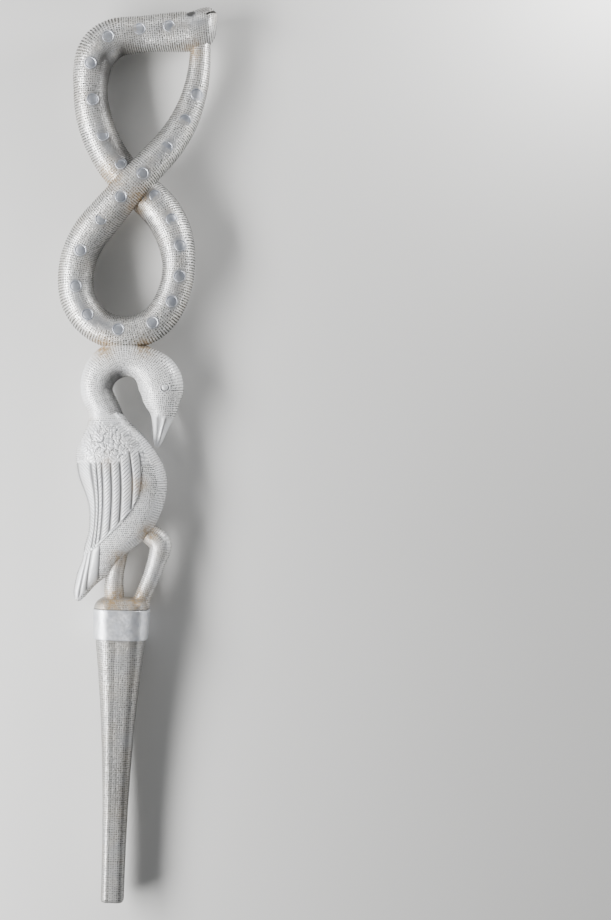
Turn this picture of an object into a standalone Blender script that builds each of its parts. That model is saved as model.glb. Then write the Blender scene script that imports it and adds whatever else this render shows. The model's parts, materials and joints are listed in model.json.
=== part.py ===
"""Ceremonial staff, lying on its back: a snake bent into a figure eight above a wading bird, on a grip.

Sizes are in metres. While it is drawn, "along" runs from the tip of the grip to the snake's head,
"across" to the right of someone who looks at the staff's face, and "depth" towards them from the
middle of its thickness. The finished staff lies with along on +X, across on -Y and depth on +Z.
"""
import math

import bmesh
import bpy
import numpy as np
from mathutils import Vector

# Lengths along the staff: the grip up to the collar, the collar, the cap, the bird and the snake
GRIP_LENGTH = 0.1613
COLLAR_HEIGHT = 0.0184
CAP_HEIGHT = 0.0062
BIRD_LENGTH = 0.1535
SNAKE_LENGTH = 0.2103

# The grip's width at its tip and at the collar's two ends, and how late it flares out
TIP_WIDTH = 0.0135
GRIP_TOP_WIDTH = 0.0294
SEAT_TOP_WIDTH = 0.0313
CAP_WIDTH = 0.0324
GRIP_FLARE = 2.3
TIP_CHAMFER = 0.0012
CORNER_ROUND = 0.30

# The collar's sheet and the gap between it and what it sits on
COLLAR_WALL = 0.0010
SEAM = 0.0003

# How far the wings and the tail feathers stand out of the bird, and how far their slabs reach into it
WING_RISE = 0.0013
TAIL_RISE = 0.0007
FEATHER_ROOT = 0.0012
# The discs on the snake and the bird's eyes, whose tops are narrower than their feet
DISC_RADIUS = 0.0037
DISC_RISE = 0.00035
EYE_RADIUS = 0.0017
EYE_RISE = 0.0006
EYE_TOP_SHARE = 0.7

# The snake's mouth, a wedge this wide at its outer end, and the round pit above each cheek
MOUTH_WIDTH = 0.0022
PIT_RADIUS = 0.0022

# The snake's route from its snout back to its tail, in shares of its length: where it starts, which
# way it heads, then each straight run, the bend after it and that bend's turn, left turns positive
SNOUT = (0.2427, 0.9466)
SNOUT_HEADING = math.radians(187.7)
SNAKE_RUNS = (
    (0.2714, 0.1025, 73.7),
    (0.0030, 0.3718, 59.3),
    (0.0542, 0.2610, -78.4),
    (0.0000, 0.1424, -144.5),
    (0.0000, 0.2364, -48.1),
    (0.2756, 0.4545, 39.7),
    (0.0440, 0.0000, 0.0),
)
# Half the snake's width at shares of that route, in shares of its length: blunt snout, head, neck,
# the full corner, the body, and the taper to the tail in its mouth's corner
SNAKE_HALF_WIDTHS = (
    (0.000, 0.0450), (0.0035, 0.0540), (0.006, 0.0585), (0.022, 0.0613), (0.040, 0.0564),
    (0.063, 0.0514), (0.090, 0.0496), (0.145, 0.0575), (0.200, 0.0480), (0.260, 0.0512),
    (0.334, 0.0528), (0.370, 0.0550), (0.405, 0.0530), (0.450, 0.0457), (0.514, 0.0461),
    (0.630, 0.0497), (0.735, 0.0524), (0.800, 0.0466), (0.851, 0.0448), (0.892, 0.0412),
    (0.930, 0.0355), (1.000, 0.0277),
)
SNAKE_DEPTH_TO_WIDTH = 1.08
SNAKE_ROUNDNESS = 2.15
# The chin slopes back under the snout by this share of the snake's length, over this share of the route
CHIN_SLOPE = 0.018
CHIN_REACH = 0.040
# The mouth's outer and inner end (across, along), and the pit: its share of the route and how far out
# it lies towards the crown, as a share of the half width there
MOUTH = ((0.2360, 0.9925), (0.2193, 0.9792))
PIT_AT = 0.027
PIT_OUT = 0.78
# At the crossing one run of the snake passes under the other: where along the route, and how far
UNDER_AT = 0.330
OVER_AT = 0.804
WEAVE_REACH = 0.115
UNDER_DROP = 0.0056
OVER_RISE = 0.0062
# The discs: each one's share of the route, and how far it lies to the side, as a share of half the
# width there. None lies on a face that the other run covers, which is this near to the crossing.
DISCS = (
    (0.058, 0.00), (0.092, 0.10), (0.131, 0.00), (0.171, 0.00), (0.215, -0.19), (0.261, -0.21),
    (0.302, -0.26), (0.360, -0.27), (0.394, -0.25), (0.426, -0.25), (0.462, -0.18), (0.493, -0.16),
    (0.527, -0.02), (0.571, 0.15), (0.615, 0.09), (0.654, 0.10), (0.699, 0.09), (0.745, 0.10),
    (0.781, 0.12), (0.819, 0.16), (0.862, 0.16), (0.902, 0.18), (0.936, 0.30),
)
DISC_HIDDEN = 0.025

# The bird's neck, head and bill in shares of its length: along, across, half width, half depth
NECK = (
    (0.687, -0.067, 0.0600, 0.0651),
    (0.758, -0.097, 0.0608, 0.0638),
    (0.821, -0.127, 0.0624, 0.0638),
    (0.889, -0.117, 0.0680, 0.0651),
    (0.941, -0.072, 0.0730, 0.0638),
    (0.960, -0.011, 0.0720, 0.0625),
    (0.943, 0.050, 0.0700, 0.0638),
    (0.902, 0.103, 0.0860, 0.0717),
    (0.849, 0.130, 0.0880, 0.0749),
    (0.797, 0.135, 0.0752, 0.0684),
    (0.753, 0.139, 0.0560, 0.0534),
    (0.709, 0.135, 0.0384, 0.0391),
    (0.665, 0.128, 0.0264, 0.0287),
    (0.633, 0.123, 0.0184, 0.0208),
    (0.608, 0.119, 0.0085, 0.0104),
)
# Its body from the neck to the tail's tip: along, back edge, breast edge, half depth
BODY = (
    (0.820, -0.150, -0.090, 0.0300),
    (0.796, -0.160, -0.068, 0.0460),
    (0.769, -0.163, -0.045, 0.0560),
    (0.730, -0.156, -0.016, 0.0651),
    (0.679, -0.162, 0.034, 0.0782),
    (0.631, -0.183, 0.083, 0.0879),
    (0.583, -0.199, 0.119, 0.0945),
    (0.536, -0.200, 0.146, 0.0977),
    (0.488, -0.192, 0.162, 0.0990),
    (0.424, -0.166, 0.162, 0.0977),
    (0.360, -0.144, 0.148, 0.0945),
    (0.296, -0.140, 0.122, 0.0860),
    (0.248, -0.144, 0.096, 0.0782),
    (0.198, -0.157, 0.037, 0.0691),
    (0.149, -0.163, -0.011, 0.0599),
    (0.101, -0.180, -0.048, 0.0521),
    (0.051, -0.190, -0.106, 0.0404),
    (0.011, -0.193, -0.141, 0.0274),
    (-0.018, -0.184, -0.168, 0.0130),
)
BODY_ROUNDNESS = 2.3
BODY_EDGE = 0.985
NECK_ROUNDNESS = 2.1
LEG_ROUNDNESS = 2.0
EYE = (0.845, 0.149)
# Its legs from the cap up into the belly, as the neck's rows; the second is bent at the knee
STRAIGHT_LEG = (
    (-0.037, -0.033, 0.0440, 0.0456),
    (0.003, -0.032, 0.0400, 0.0417),
    (0.047, -0.034, 0.0372, 0.0391),
    (0.099, -0.030, 0.0336, 0.0358),
    (0.160, -0.020, 0.0336, 0.0358),
    (0.235, -0.005, 0.0336, 0.0358),
)
BENT_LEG = (
    (-0.033, 0.075, 0.0360, 0.0391),
    (0.003, 0.082, 0.0328, 0.0365),
    (0.043, 0.096, 0.0316, 0.0345),
    (0.108, 0.121, 0.0344, 0.0358),
    (0.173, 0.140, 0.0392, 0.0391),
    (0.222, 0.145, 0.0450, 0.0404),
    (0.258, 0.103, 0.0400, 0.0391),
    (0.294, 0.054, 0.0360, 0.0358),
)
# Edges of the wing's seven feathers, from the leading edge to the back: top, end and sideways bow
WING_FEATHERS = (
    ((0.594, 0.057), (0.435, 0.066), 0.014),
    ((0.585, 0.017), (0.366, 0.036), 0.008),
    ((0.568, -0.023), (0.302, -0.010), 0.004),
    ((0.551, -0.062), (0.251, -0.052), 0.002),
    ((0.549, -0.098), (0.214, -0.085), 0.003),
    ((0.549, -0.122), (0.191, -0.111), 0.005),
    ((0.548, -0.144), (0.176, -0.130), 0.012),
    ((0.539, -0.181), (0.163, -0.147), 0.026),
)
# Edges of the tail's three feathers, the same way
TAIL_FEATHERS = (
    ((0.190, -0.088), (0.078, -0.092), 0.0),
    ((0.174, -0.126), (0.024, -0.141), 0.0),
    ((0.165, -0.143), (0.004, -0.171), 0.0),
    ((0.162, -0.153), (0.006, -0.183), 0.0),
)
# Between two feathers this share of their rise is left; they rise to it over this share of their
# length; a slab's underside keeps at least this share of the body's depth there
FEATHER_VALLEY = 0.25
FEATHER_EASE = 0.15
FEATHER_FLOOR = 0.3
# How much faster the cap draws in than it rises
CAP_INSET = 1.6

# How finely the forms are faceted
SNAKE_SIDES = 16
SNAKE_RINGS = 78
NECK_SIDES = 16
NECK_RINGS = 26
BODY_SIDES = 20
BODY_RINGS = 22
LEG_SIDES = 12
LEG_RINGS = 14
CORNER_FACETS = 3
CAP_FACETS = 4
GRIP_RINGS = 9
COLUMNS_A_FEATHER = 3
WING_ROWS = 9
TAIL_ROWS = 4
DISC_SIDES = 10
ROUTE_STEP = 0.002
SLIVER = 0.00005
SHARP_ANGLE = math.radians(40)

# Worked out from the sizes above
COLLAR_FOOT = GRIP_LENGTH
COLLAR_HEAD = GRIP_LENGTH + COLLAR_HEIGHT
CAP_FOOT = COLLAR_HEAD + SEAM
CAP_TOP = CAP_FOOT + CAP_HEIGHT
SNAKE_FOOT = CAP_TOP + BIRD_LENGTH
CROWN_ACROSS = -0.0296 * BIRD_LENGTH
REST_HEIGHT = SEAT_TOP_WIDTH / 2 + SEAM + COLLAR_WALL


def clear_scene():
    """Start from an empty scene."""
    for thing in list(bpy.data.objects):
        bpy.data.objects.remove(thing, do_unlink=True)


def material(name, color, roughness, metallic):
    """One plain Principled material."""
    made = bpy.data.materials.new(name)
    made.use_nodes = True
    shader = made.node_tree.nodes["Principled BSDF"]
    shader.inputs["Base Color"].default_value = (*color, 1.0)
    shader.inputs["Roughness"].default_value = roughness
    shader.inputs["Metallic"].default_value = metallic
    return made


def smooth_rows(rows, count):
    """Evenly spaced rows of the smooth curve through the given rows; its pace is set by the first two."""
    rows = np.array(rows, float)
    at = np.concatenate([[0.0], np.cumsum(np.linalg.norm(np.diff(rows[:, :2], axis=0), axis=1))])
    fine = np.linspace(0.0, at[-1], 40 * count)
    drawn = cubic(at, rows, fine)
    gone = np.concatenate([[0.0], np.cumsum(np.linalg.norm(np.diff(drawn[:, :2], axis=0), axis=1))])
    even = np.interp(np.linspace(0.0, gone[-1], count), gone, fine)
    return cubic(at, rows, even)


def cubic(at, rows, where):
    """Natural cubic curve through rows at the places at, read at where."""
    rows = np.array(rows, float)
    gap = np.diff(at)
    count = len(at)
    system = np.eye(count)
    slope_change = np.zeros_like(rows)
    for i in range(1, count - 1):
        system[i, i - 1 : i + 2] = gap[i - 1], 2 * (gap[i - 1] + gap[i]), gap[i]
        slope_change[i] = 6 * ((rows[i + 1] - rows[i]) / gap[i] - (rows[i] - rows[i - 1]) / gap[i - 1])
    bend = np.linalg.solve(system, slope_change)
    k = np.clip(np.searchsorted(at, where, side="right") - 1, 0, count - 2)
    h = gap[k].reshape(-1, *[1] * (rows.ndim - 1))
    a = (at[k + 1] - where).reshape(h.shape) / h
    b = 1.0 - a
    return (
        a * rows[k] + b * rows[k + 1]
        + ((a**3 - a) * bend[k] + (b**3 - b) * bend[k + 1]) * h**2 / 6
    )


def snake_route(count):
    """The snake's middle line as even points (across, along), in shares of its length."""
    place = np.array(SNOUT)
    heading = SNOUT_HEADING
    points = [place]
    for run, radius, turn in SNAKE_RUNS:
        forward = np.array([math.cos(heading), math.sin(heading)])
        steps = max(1, round(run / ROUTE_STEP))
        points += [place + forward * run * (i + 1) / steps for i in range(steps)]
        place = place + forward * run
        turn = math.radians(turn)
        side = math.copysign(1.0, turn)
        centre = place + radius * side * np.array([-math.sin(heading), math.cos(heading)])
        steps = round(abs(turn) * radius / ROUTE_STEP)
        for i in range(steps):
            angle = heading + turn * (i + 1) / steps
            points.append(centre + radius * side * np.array([math.sin(angle), -math.cos(angle)]))
        place = points[-1]
        heading += turn
    points = np.array(points)
    gone = np.concatenate([[0.0], np.cumsum(np.linalg.norm(np.diff(points, axis=0), axis=1))])
    keep = np.concatenate([[True], np.diff(gone) > 1e-9])
    share = np.linspace(0.0, 1.0, count)
    across = np.interp(share * gone[-1], gone[keep], points[keep, 0])
    along = np.interp(share * gone[-1], gone[keep], points[keep, 1])
    return np.stack([across, along], axis=1)


def weave(share):
    """How far the snake's middle line leaves the staff's middle plane, at a share of its route."""
    near_under = np.clip(np.abs(share - UNDER_AT) / WEAVE_REACH, 0.0, 1.0)
    near_over = np.clip(np.abs(share - OVER_AT) / WEAVE_REACH, 0.0, 1.0)
    sink = UNDER_DROP * (1 + np.cos(math.pi * near_under)) / 2
    rise = OVER_RISE * (1 + np.cos(math.pi * near_over)) / 2
    return rise - sink


def snake_half_width(share):
    """Half the snake's width in metres at a share of its route."""
    knots = np.array(SNAKE_HALF_WIDTHS)
    return np.interp(share, knots[:, 0], knots[:, 1]) * SNAKE_LENGTH


def snake_rows(shares):
    """Rows (along, across, depth, half width, half depth) of the snake at shares of its route."""
    route = snake_route(2001)
    read = np.linspace(0.0, 1.0, len(route))
    across = CROWN_ACROSS + np.interp(shares, read, route[:, 0]) * SNAKE_LENGTH
    along = SNAKE_FOOT + np.interp(shares, read, route[:, 1]) * SNAKE_LENGTH
    half = snake_half_width(shares)
    return np.stack([along, across, weave(shares), half, half * SNAKE_DEPTH_TO_WIDTH], axis=1)


def bird_rows(rows, count):
    """Rows as the snake's, from rows in shares of the bird's length."""
    drawn = smooth_rows(rows, count) * BIRD_LENGTH
    flat = np.zeros(count)
    return np.stack([CAP_TOP + drawn[:, 0], drawn[:, 1], flat, drawn[:, 2], drawn[:, 3]], axis=1)


def rounded_ring(half_width, half_depth, sides, roundness):
    """Offsets (sideways, upwards) round an oval; a roundness over 2 squares it a little."""
    ring = []
    for i in range(sides):
        angle = 2 * math.pi * (i + 0.5) / sides
        c, s = math.cos(angle), math.sin(angle)
        sideways = half_width * math.copysign(abs(c) ** (2 / roundness), c)
        upwards = half_depth * math.copysign(abs(s) ** (2 / roundness), s)
        ring.append((sideways, upwards))
    return ring


def sweep_rings(rows, sides, roundness):
    """Rings round a middle line, each square to it."""
    middle = rows[:, :3]
    ahead = np.gradient(middle, axis=0)
    rings = []
    for row, direction in zip(rows, ahead):
        forward = Vector(direction).normalized()
        sideways = Vector((0.0, 0.0, 1.0)).cross(forward).normalized()
        upwards = forward.cross(sideways)
        place = Vector(row[:3])
        ring = rounded_ring(row[3], row[4], sides, roundness)
        rings.append([place + sideways * a + upwards * b for a, b in ring])
    return rings


def add_loft(shape, rings):
    """A closed skin through rings of (along, across, depth), its two ends closed flat."""
    rows = [[shape.verts.new((x, -y, z)) for x, y, z in ring] for ring in rings]
    faces = [shape.faces.new(rows[0]), shape.faces.new(rows[-1])]
    for one, two in zip(rows, rows[1:]):
        for i in range(len(one)):
            j = (i + 1) % len(one)
            faces.append(shape.faces.new((one[i], one[j], two[j], two[i])))
    bmesh.ops.recalc_face_normals(shape, faces=faces)


def loft(name, rings):
    """One closed solid through rings."""
    shape = bmesh.new()
    add_loft(shape, rings)
    return solid(name, shape)


def solid(name, shape):
    """An object that holds a finished bmesh."""
    mesh = bpy.data.meshes.new(name)
    shape.to_mesh(mesh)
    shape.free()
    made = bpy.data.objects.new(name, mesh)
    bpy.context.scene.collection.objects.link(made)
    return made


def combine(base, others, operation, solver="MANIFOLD"):
    """Join the others to the base, or cut them from it, and keep one plain mesh.

    The exact solver also resolves a base that crosses itself; it loses the many small feathers and
    discs, which the manifold solver keeps.
    """
    for other in others:
        step = base.modifiers.new(other.name, "BOOLEAN")
        step.operation = operation
        step.object = other
        step.solver = solver
        step.use_self = solver == "EXACT"
    evaluated = base.evaluated_get(bpy.context.evaluated_depsgraph_get())
    mesh = bpy.data.meshes.new_from_object(evaluated)
    base.modifiers.clear()
    base.data = mesh
    for other in others:
        bpy.data.objects.remove(other, do_unlink=True)
    return base


def make_snake():
    """The snake in one sweep from its snout to its tail; it crosses itself and bites its tail's end."""
    shares = np.linspace(0.0, 1.0, SNAKE_RINGS)
    head = [knot[0] for knot in SNAKE_HALF_WIDTHS[1:4]]
    shares = np.array(sorted([*shares, *head]))
    rows = snake_rows(shares)
    rings = sweep_rings(rows, SNAKE_SIDES, SNAKE_ROUNDNESS)
    for share, row, ring in zip(shares, rows, rings):
        if share < CHIN_REACH:
            slope_chin(share, row, ring)
    return loft("staff", rings)


def slope_chin(share, row, ring):
    """Push the lower half of one of the head's rings back, so that the snout leans over the chin."""
    back, up = snout_ways()
    push = CHIN_SLOPE * SNAKE_LENGTH * (1 - share / CHIN_REACH)
    for point in ring:
        below = -((point.x - row[0]) * up[1] + (point.y - row[1]) * up[0]) / row[3]
        if below > 0:
            point.x += back[1] * push * below
            point.y += back[0] * push * below


def snout_ways():
    """Two directions (across, along) at the snout: back into the head, and up to the crown."""
    back = np.array([math.cos(SNOUT_HEADING), math.sin(SNOUT_HEADING)])
    return back, np.array([back[1], -back[0]])


def make_discs():
    """Thin round discs along both faces of the snake, as one object for the union to join."""
    shape = bmesh.new()
    shares = np.array([disc[0] for disc in DISCS])
    outs = [disc[1] for disc in DISCS]
    ways = snake_rows(shares + ROUTE_STEP)[:, :2] - snake_rows(shares - ROUTE_STEP)[:, :2]
    for face, covered in ((1, UNDER_AT), (-1, OVER_AT)):
        for share, out, row, way in zip(shares, outs, snake_rows(shares), ways):
            if abs(share - covered) > DISC_HIDDEN:
                add_disc(shape, row, out, way / np.linalg.norm(way), face)
    return solid("discs", shape)


def add_disc(shape, row, out, way, face):
    """One disc that follows the snake's round surface, from half way down in it."""
    along, across, depth, half_width, half_depth = row
    sideways = np.array([-way[1], way[0]])

    def point(ahead, aside, share_of_depth, rise):
        beside = out + aside / half_width
        place = np.array([along, across]) + way * ahead + sideways * beside * half_width
        surface = half_depth * (1 - abs(beside) ** SNAKE_ROUNDNESS) ** (1 / SNAKE_ROUNDNESS)
        return (place[0], -place[1], depth + face * (surface * share_of_depth + rise))

    turns = [2 * math.pi * k / DISC_SIDES for k in range(DISC_SIDES)]
    edge = [(DISC_RADIUS * math.cos(t), DISC_RADIUS * math.sin(t)) for t in turns]
    foot, rim = (
        [shape.verts.new(point(*place, share, rise)) for place in edge]
        for share, rise in ((0.5, 0.0), (1.0, DISC_RISE))
    )
    centre = shape.verts.new(point(0.0, 0.0, 1.0, DISC_RISE))
    faces = [shape.faces.new(foot)]
    for i in range(DISC_SIDES):
        j = (i + 1) % DISC_SIDES
        faces.append(shape.faces.new((foot[i], foot[j], rim[j], rim[i])))
        faces.append(shape.faces.new((rim[i], rim[j], centre)))
    bmesh.ops.recalc_face_normals(shape, faces=faces)


def round_ring(along, across, depth, radius):
    """A small circle that faces up."""
    turns = [2 * math.pi * k / DISC_SIDES for k in range(DISC_SIDES)]
    return [(along + radius * math.cos(t), across + radius * math.sin(t), depth) for t in turns]


def body_edges(along_share):
    """The bird's back edge, breast edge and half depth at a place along it, in shares."""
    rows = np.array(BODY)[::-1]
    return cubic(rows[:, 0], rows[:, 1:], np.atleast_1d(along_share))


def body_surface(along_share, across_share):
    """How far the bird's body stands out of the middle plane at a place, in shares."""
    back, breast, half_depth = body_edges(along_share)[0]
    middle, half = (back + breast) / 2, (breast - back) / 2
    out = min(abs(across_share - middle) / half, BODY_EDGE)
    return half_depth * (1 - out**BODY_ROUNDNESS) ** (1 / BODY_ROUNDNESS)


def make_body():
    """The bird's body and tail, in sections square to the staff."""
    rows = np.array(BODY)
    along = np.interp(np.linspace(0, len(rows) - 1, BODY_RINGS), np.arange(len(rows)), rows[:, 0])
    rings = []
    for level, (back, breast, half_depth) in zip(along, body_edges(along)):
        middle, half = (back + breast) / 2, (breast - back) / 2
        ring = rounded_ring(half, half_depth, BODY_SIDES, BODY_ROUNDNESS)
        rings.append(
            [
                (CAP_TOP + level * BIRD_LENGTH, (middle + a) * BIRD_LENGTH, b * BIRD_LENGTH)
                for a, b in ring
            ]
        )
    return loft("body", rings)


def make_feathers(name, edges, rise, row_count, face):
    """A slab of long fluted feathers lying on one face of the body and sunk into it."""
    columns = (len(edges) - 1) * COLUMNS_A_FEATHER + 1
    sunk = rise + FEATHER_ROOT
    top, bottom = [], []
    for r in range(row_count + 1):
        down = r / row_count
        high, low = [], []
        for c in range(columns):
            feather = min(c // COLUMNS_A_FEATHER, len(edges) - 2)
            part = c / COLUMNS_A_FEATHER - feather
            one, two = (edge_point(edges[feather + k], down) for k in (0, 1))
            along, across = one + (two - one) * part
            crest = FEATHER_VALLEY + (1 - FEATHER_VALLEY) * math.sin(math.pi * part)
            start = min(1.0, FEATHER_EASE + down / FEATHER_EASE)
            level = body_surface(along, across) * BIRD_LENGTH
            place = (CAP_TOP + along * BIRD_LENGTH, across * BIRD_LENGTH)
            high.append((*place, face * (level + rise * crest * start)))
            low.append((*place, face * max(level - sunk, level * FEATHER_FLOOR)))
        top.append(high)
        bottom.append(low)
    rings = [high + low[::-1] for high, low in zip(top, bottom)]
    return loft(name, rings)


def edge_point(edge, down):
    """A point on a feather's edge, from its top to its end, bowed sideways."""
    start, end, bow = edge
    point = np.array(start) + (np.array(end) - np.array(start)) * down
    point[1] += bow * math.sin(math.pi * down)
    return point


def make_eye(face):
    """A small round boss on one cheek of the bird."""
    along, across = CAP_TOP + EYE[0] * BIRD_LENGTH, EYE[1] * BIRD_LENGTH
    nearest = min(NECK, key=lambda row: math.dist(row[:2], EYE))
    cheek = nearest[3] * BIRD_LENGTH
    levels = ((cheek / 2, 1.0), (cheek, 1.0), (cheek + EYE_RISE, EYE_TOP_SHARE))
    rings = [round_ring(along, across, face * level, EYE_RADIUS * share) for level, share in levels]
    return loft(f"eye_{face}", rings)


def grip_width(along):
    """The grip's width, slim at the tip and flared towards the collar, straight under the collar."""
    if along <= COLLAR_FOOT:
        return TIP_WIDTH + (GRIP_TOP_WIDTH - TIP_WIDTH) * (along / GRIP_LENGTH) ** GRIP_FLARE
    up = (along - COLLAR_FOOT) / COLLAR_HEIGHT
    return GRIP_TOP_WIDTH + (SEAT_TOP_WIDTH - GRIP_TOP_WIDTH) * up


def square_ring(along, width, grow=0.0):
    """A square with round corners, across the staff; grow moves its sides outwards."""
    half = width / 2 + grow
    round_off = CORNER_ROUND * width + grow
    ring = []
    for quarter in range(4):
        turned = quarter * math.pi / 2
        for k in range(CORNER_FACETS + 1):
            angle = turned + math.pi / 2 * k / CORNER_FACETS
            side = half - round_off
            centre = (
                side * math.copysign(1, math.cos(turned + math.pi / 4)),
                side * math.copysign(1, math.sin(turned + math.pi / 4)),
            )
            ring.append(
                (along, centre[0] + round_off * math.cos(angle), centre[1] + round_off * math.sin(angle))
            )
    return ring


def make_grip():
    """The tapered grip, the seat under the collar and the rounded cap above it."""
    levels = [TIP_CHAMFER + (COLLAR_FOOT - TIP_CHAMFER) * k / GRIP_RINGS for k in range(GRIP_RINGS + 1)]
    rings = [square_ring(0.0, grip_width(0.0) - TIP_CHAMFER)]
    rings += [square_ring(level, grip_width(level)) for level in levels]
    rings.append(square_ring(CAP_FOOT, SEAT_TOP_WIDTH))
    for k in range(CAP_FACETS + 1):
        angle = math.pi / 2 * k / CAP_FACETS
        inset = CAP_HEIGHT * CAP_INSET * (1 - math.cos(angle))
        rings.append(square_ring(CAP_FOOT + CAP_HEIGHT * math.sin(angle), CAP_WIDTH - inset))
    return loft("grip", rings)


def make_collar():
    """The polished band round the seat, as a tube of even wall."""
    shape = bmesh.new()
    loops = []
    for along, grow in (
        (COLLAR_FOOT, SEAM), (COLLAR_FOOT, SEAM + COLLAR_WALL),
        (COLLAR_HEAD, SEAM + COLLAR_WALL), (COLLAR_HEAD, SEAM),
    ):
        ring = square_ring(along, grip_width(along), grow)
        loops.append([shape.verts.new((x, -y, z)) for x, y, z in ring])
    for one, two in zip(loops, loops[1:] + loops[:1]):
        for i in range(len(one)):
            j = (i + 1) % len(one)
            shape.faces.new((one[i], one[j], two[j], two[i]))
    bmesh.ops.recalc_face_normals(shape, faces=shape.faces)
    return solid("collar", shape)


def block(name, low, high):
    """A plain box between two corners (along, across, depth)."""
    rings = [
        [(x, low[1], low[2]), (x, high[1], low[2]), (x, high[1], high[2]), (x, low[1], high[2])]
        for x in (low[0], high[0])
    ]
    return loft(name, rings)


def make_mouth():
    """A wedge across the snout, slanting down into it from the crown's front corner."""
    outer, inner = (
        np.array([SNAKE_FOOT + along * SNAKE_LENGTH, CROWN_ACROSS + across * SNAKE_LENGTH])
        for across, along in MOUTH
    )
    way = (inner - outer) / np.linalg.norm(inner - outer)
    side = np.array([-way[1], way[0]]) * MOUTH_WIDTH / 2
    reach = SNAKE_LENGTH
    corners = (outer + side, inner, outer - side)
    return loft("mouth", [[(x, y, depth) for x, y in corners] for depth in (-reach, reach)])


def make_pit(face):
    """A round hollow high on one side of the snake's head."""
    shape = bmesh.new()
    bmesh.ops.create_uvsphere(shape, u_segments=DISC_SIDES, v_segments=6, radius=PIT_RADIUS)
    made = solid(f"pit_{face}", shape)
    along, across, depth, half_width, half_depth = snake_rows(np.array([PIT_AT]))[0]
    up = snout_ways()[1] * PIT_OUT * half_width
    level = depth + face * half_depth * (1 - PIT_OUT**SNAKE_ROUNDNESS) ** (1 / SNAKE_ROUNDNESS)
    for point in made.data.vertices:
        point.co += Vector((along + up[1], -across - up[0], level))
    return made


def make_staff():
    """The whole carved piece as one solid, flat where it touches what it lies on."""
    staff = make_snake()
    neck = loft("neck", sweep_rings(bird_rows(NECK, NECK_RINGS), NECK_SIDES, NECK_ROUNDNESS))
    combine(staff, [neck], "UNION", solver="EXACT")
    pieces = [make_body()]
    for name, rows in (("straight_leg", STRAIGHT_LEG), ("bent_leg", BENT_LEG)):
        pieces.append(loft(name, sweep_rings(bird_rows(rows, LEG_RINGS), LEG_SIDES, LEG_ROUNDNESS)))
    pieces.append(make_grip())
    for face in (1, -1):
        pieces.append(make_feathers(f"wing_{face}", WING_FEATHERS, WING_RISE, WING_ROWS, face))
        pieces.append(make_feathers(f"tail_{face}", TAIL_FEATHERS, TAIL_RISE, TAIL_ROWS, face))
        pieces.append(make_eye(face))
    combine(staff, [*pieces, make_discs()], "UNION")
    reach = SNAKE_FOOT + 2 * SNAKE_LENGTH
    below = block("below", (-reach, -reach, -reach), (reach, reach, -REST_HEIGHT))
    return combine(staff, [make_mouth(), make_pit(1), make_pit(-1), below], "DIFFERENCE")


def drop_slivers(part):
    """Collapse the edges too short to cut or print that the joining leaves, and drop loose ones."""
    shape = bmesh.new()
    shape.from_mesh(part.data)
    bmesh.ops.dissolve_degenerate(shape, dist=SLIVER, edges=shape.edges)
    loose = [edge for edge in shape.edges if edge.is_wire]
    bmesh.ops.delete(shape, geom=loose, context="EDGES")
    bmesh.ops.triangulate(shape, faces=shape.faces)
    shape.to_mesh(part.data)
    shape.free()


def settle(parts):
    """Move the parts so that the origin is under the middle of the whole, on the resting surface."""
    points = np.array([point.co[:] for part in parts for point in part.data.vertices])
    low, high = points.min(axis=0), points.max(axis=0)
    shift = Vector((-(low[0] + high[0]) / 2, -(low[1] + high[1]) / 2, -low[2]))
    for part in parts:
        for point in part.data.vertices:
            point.co += shift


def main():
    clear_scene()
    sheet = material("stippled_sheet", (0.70, 0.70, 0.69), 0.42, 1.0)
    polished = material("polished_band", (0.74, 0.75, 0.77), 0.25, 1.0)
    staff = make_staff()
    drop_slivers(staff)
    collar = make_collar()
    for part, finish in ((staff, sheet), (collar, polished)):
        part.data.materials.clear()
        part.data.materials.append(finish)
        part.data.shade_smooth()
        part.data.set_sharp_from_angle(angle=SHARP_ANGLE)
    settle([staff, collar])


main()
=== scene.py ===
"""Looks of the ceremonial staff: punched pale sheet over the carved snake, bird and grip, and the
polished collar.

As in the part's own source, "along" runs from the tip of the grip to the snake's head, "across" to
the right of someone who looks at its face, and "depth" towards them from the middle plane.
"""
import json
import math

import bmesh
import bpy
import numpy as np
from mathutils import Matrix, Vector
from mathutils.bvhtree import BVHTree


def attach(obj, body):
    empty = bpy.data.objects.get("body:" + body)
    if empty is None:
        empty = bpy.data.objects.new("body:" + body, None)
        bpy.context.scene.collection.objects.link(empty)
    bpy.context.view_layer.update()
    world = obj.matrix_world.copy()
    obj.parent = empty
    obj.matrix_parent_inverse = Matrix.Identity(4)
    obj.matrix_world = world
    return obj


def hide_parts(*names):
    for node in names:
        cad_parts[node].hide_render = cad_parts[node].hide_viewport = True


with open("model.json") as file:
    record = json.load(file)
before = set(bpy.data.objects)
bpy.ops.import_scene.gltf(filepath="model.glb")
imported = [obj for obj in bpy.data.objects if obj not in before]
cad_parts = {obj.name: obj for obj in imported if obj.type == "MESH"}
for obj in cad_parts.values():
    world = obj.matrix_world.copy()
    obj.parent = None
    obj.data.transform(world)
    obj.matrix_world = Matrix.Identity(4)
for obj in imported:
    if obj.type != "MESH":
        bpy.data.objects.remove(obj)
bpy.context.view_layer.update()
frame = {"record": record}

# The staff's own sizes, as in the part
GRIP_LENGTH = 0.1613
COLLAR_HEIGHT = 0.0184
CAP_HEIGHT = 0.0062
BIRD_LENGTH = 0.1535
SNAKE_LENGTH = 0.2103
TIP_WIDTH = 0.0135
GRIP_TOP_WIDTH = 0.0294
SEAT_TOP_WIDTH = 0.0313
CAP_WIDTH = 0.0324
GRIP_FLARE = 2.3
TIP_CHAMFER = 0.0012
CORNER_ROUND = 0.30
COLLAR_WALL = 0.0010
SEAM = 0.0003
WING_RISE = 0.0013
TAIL_RISE = 0.0007
FEATHER_ROOT = 0.0012
DISC_RADIUS = 0.0037
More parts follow.
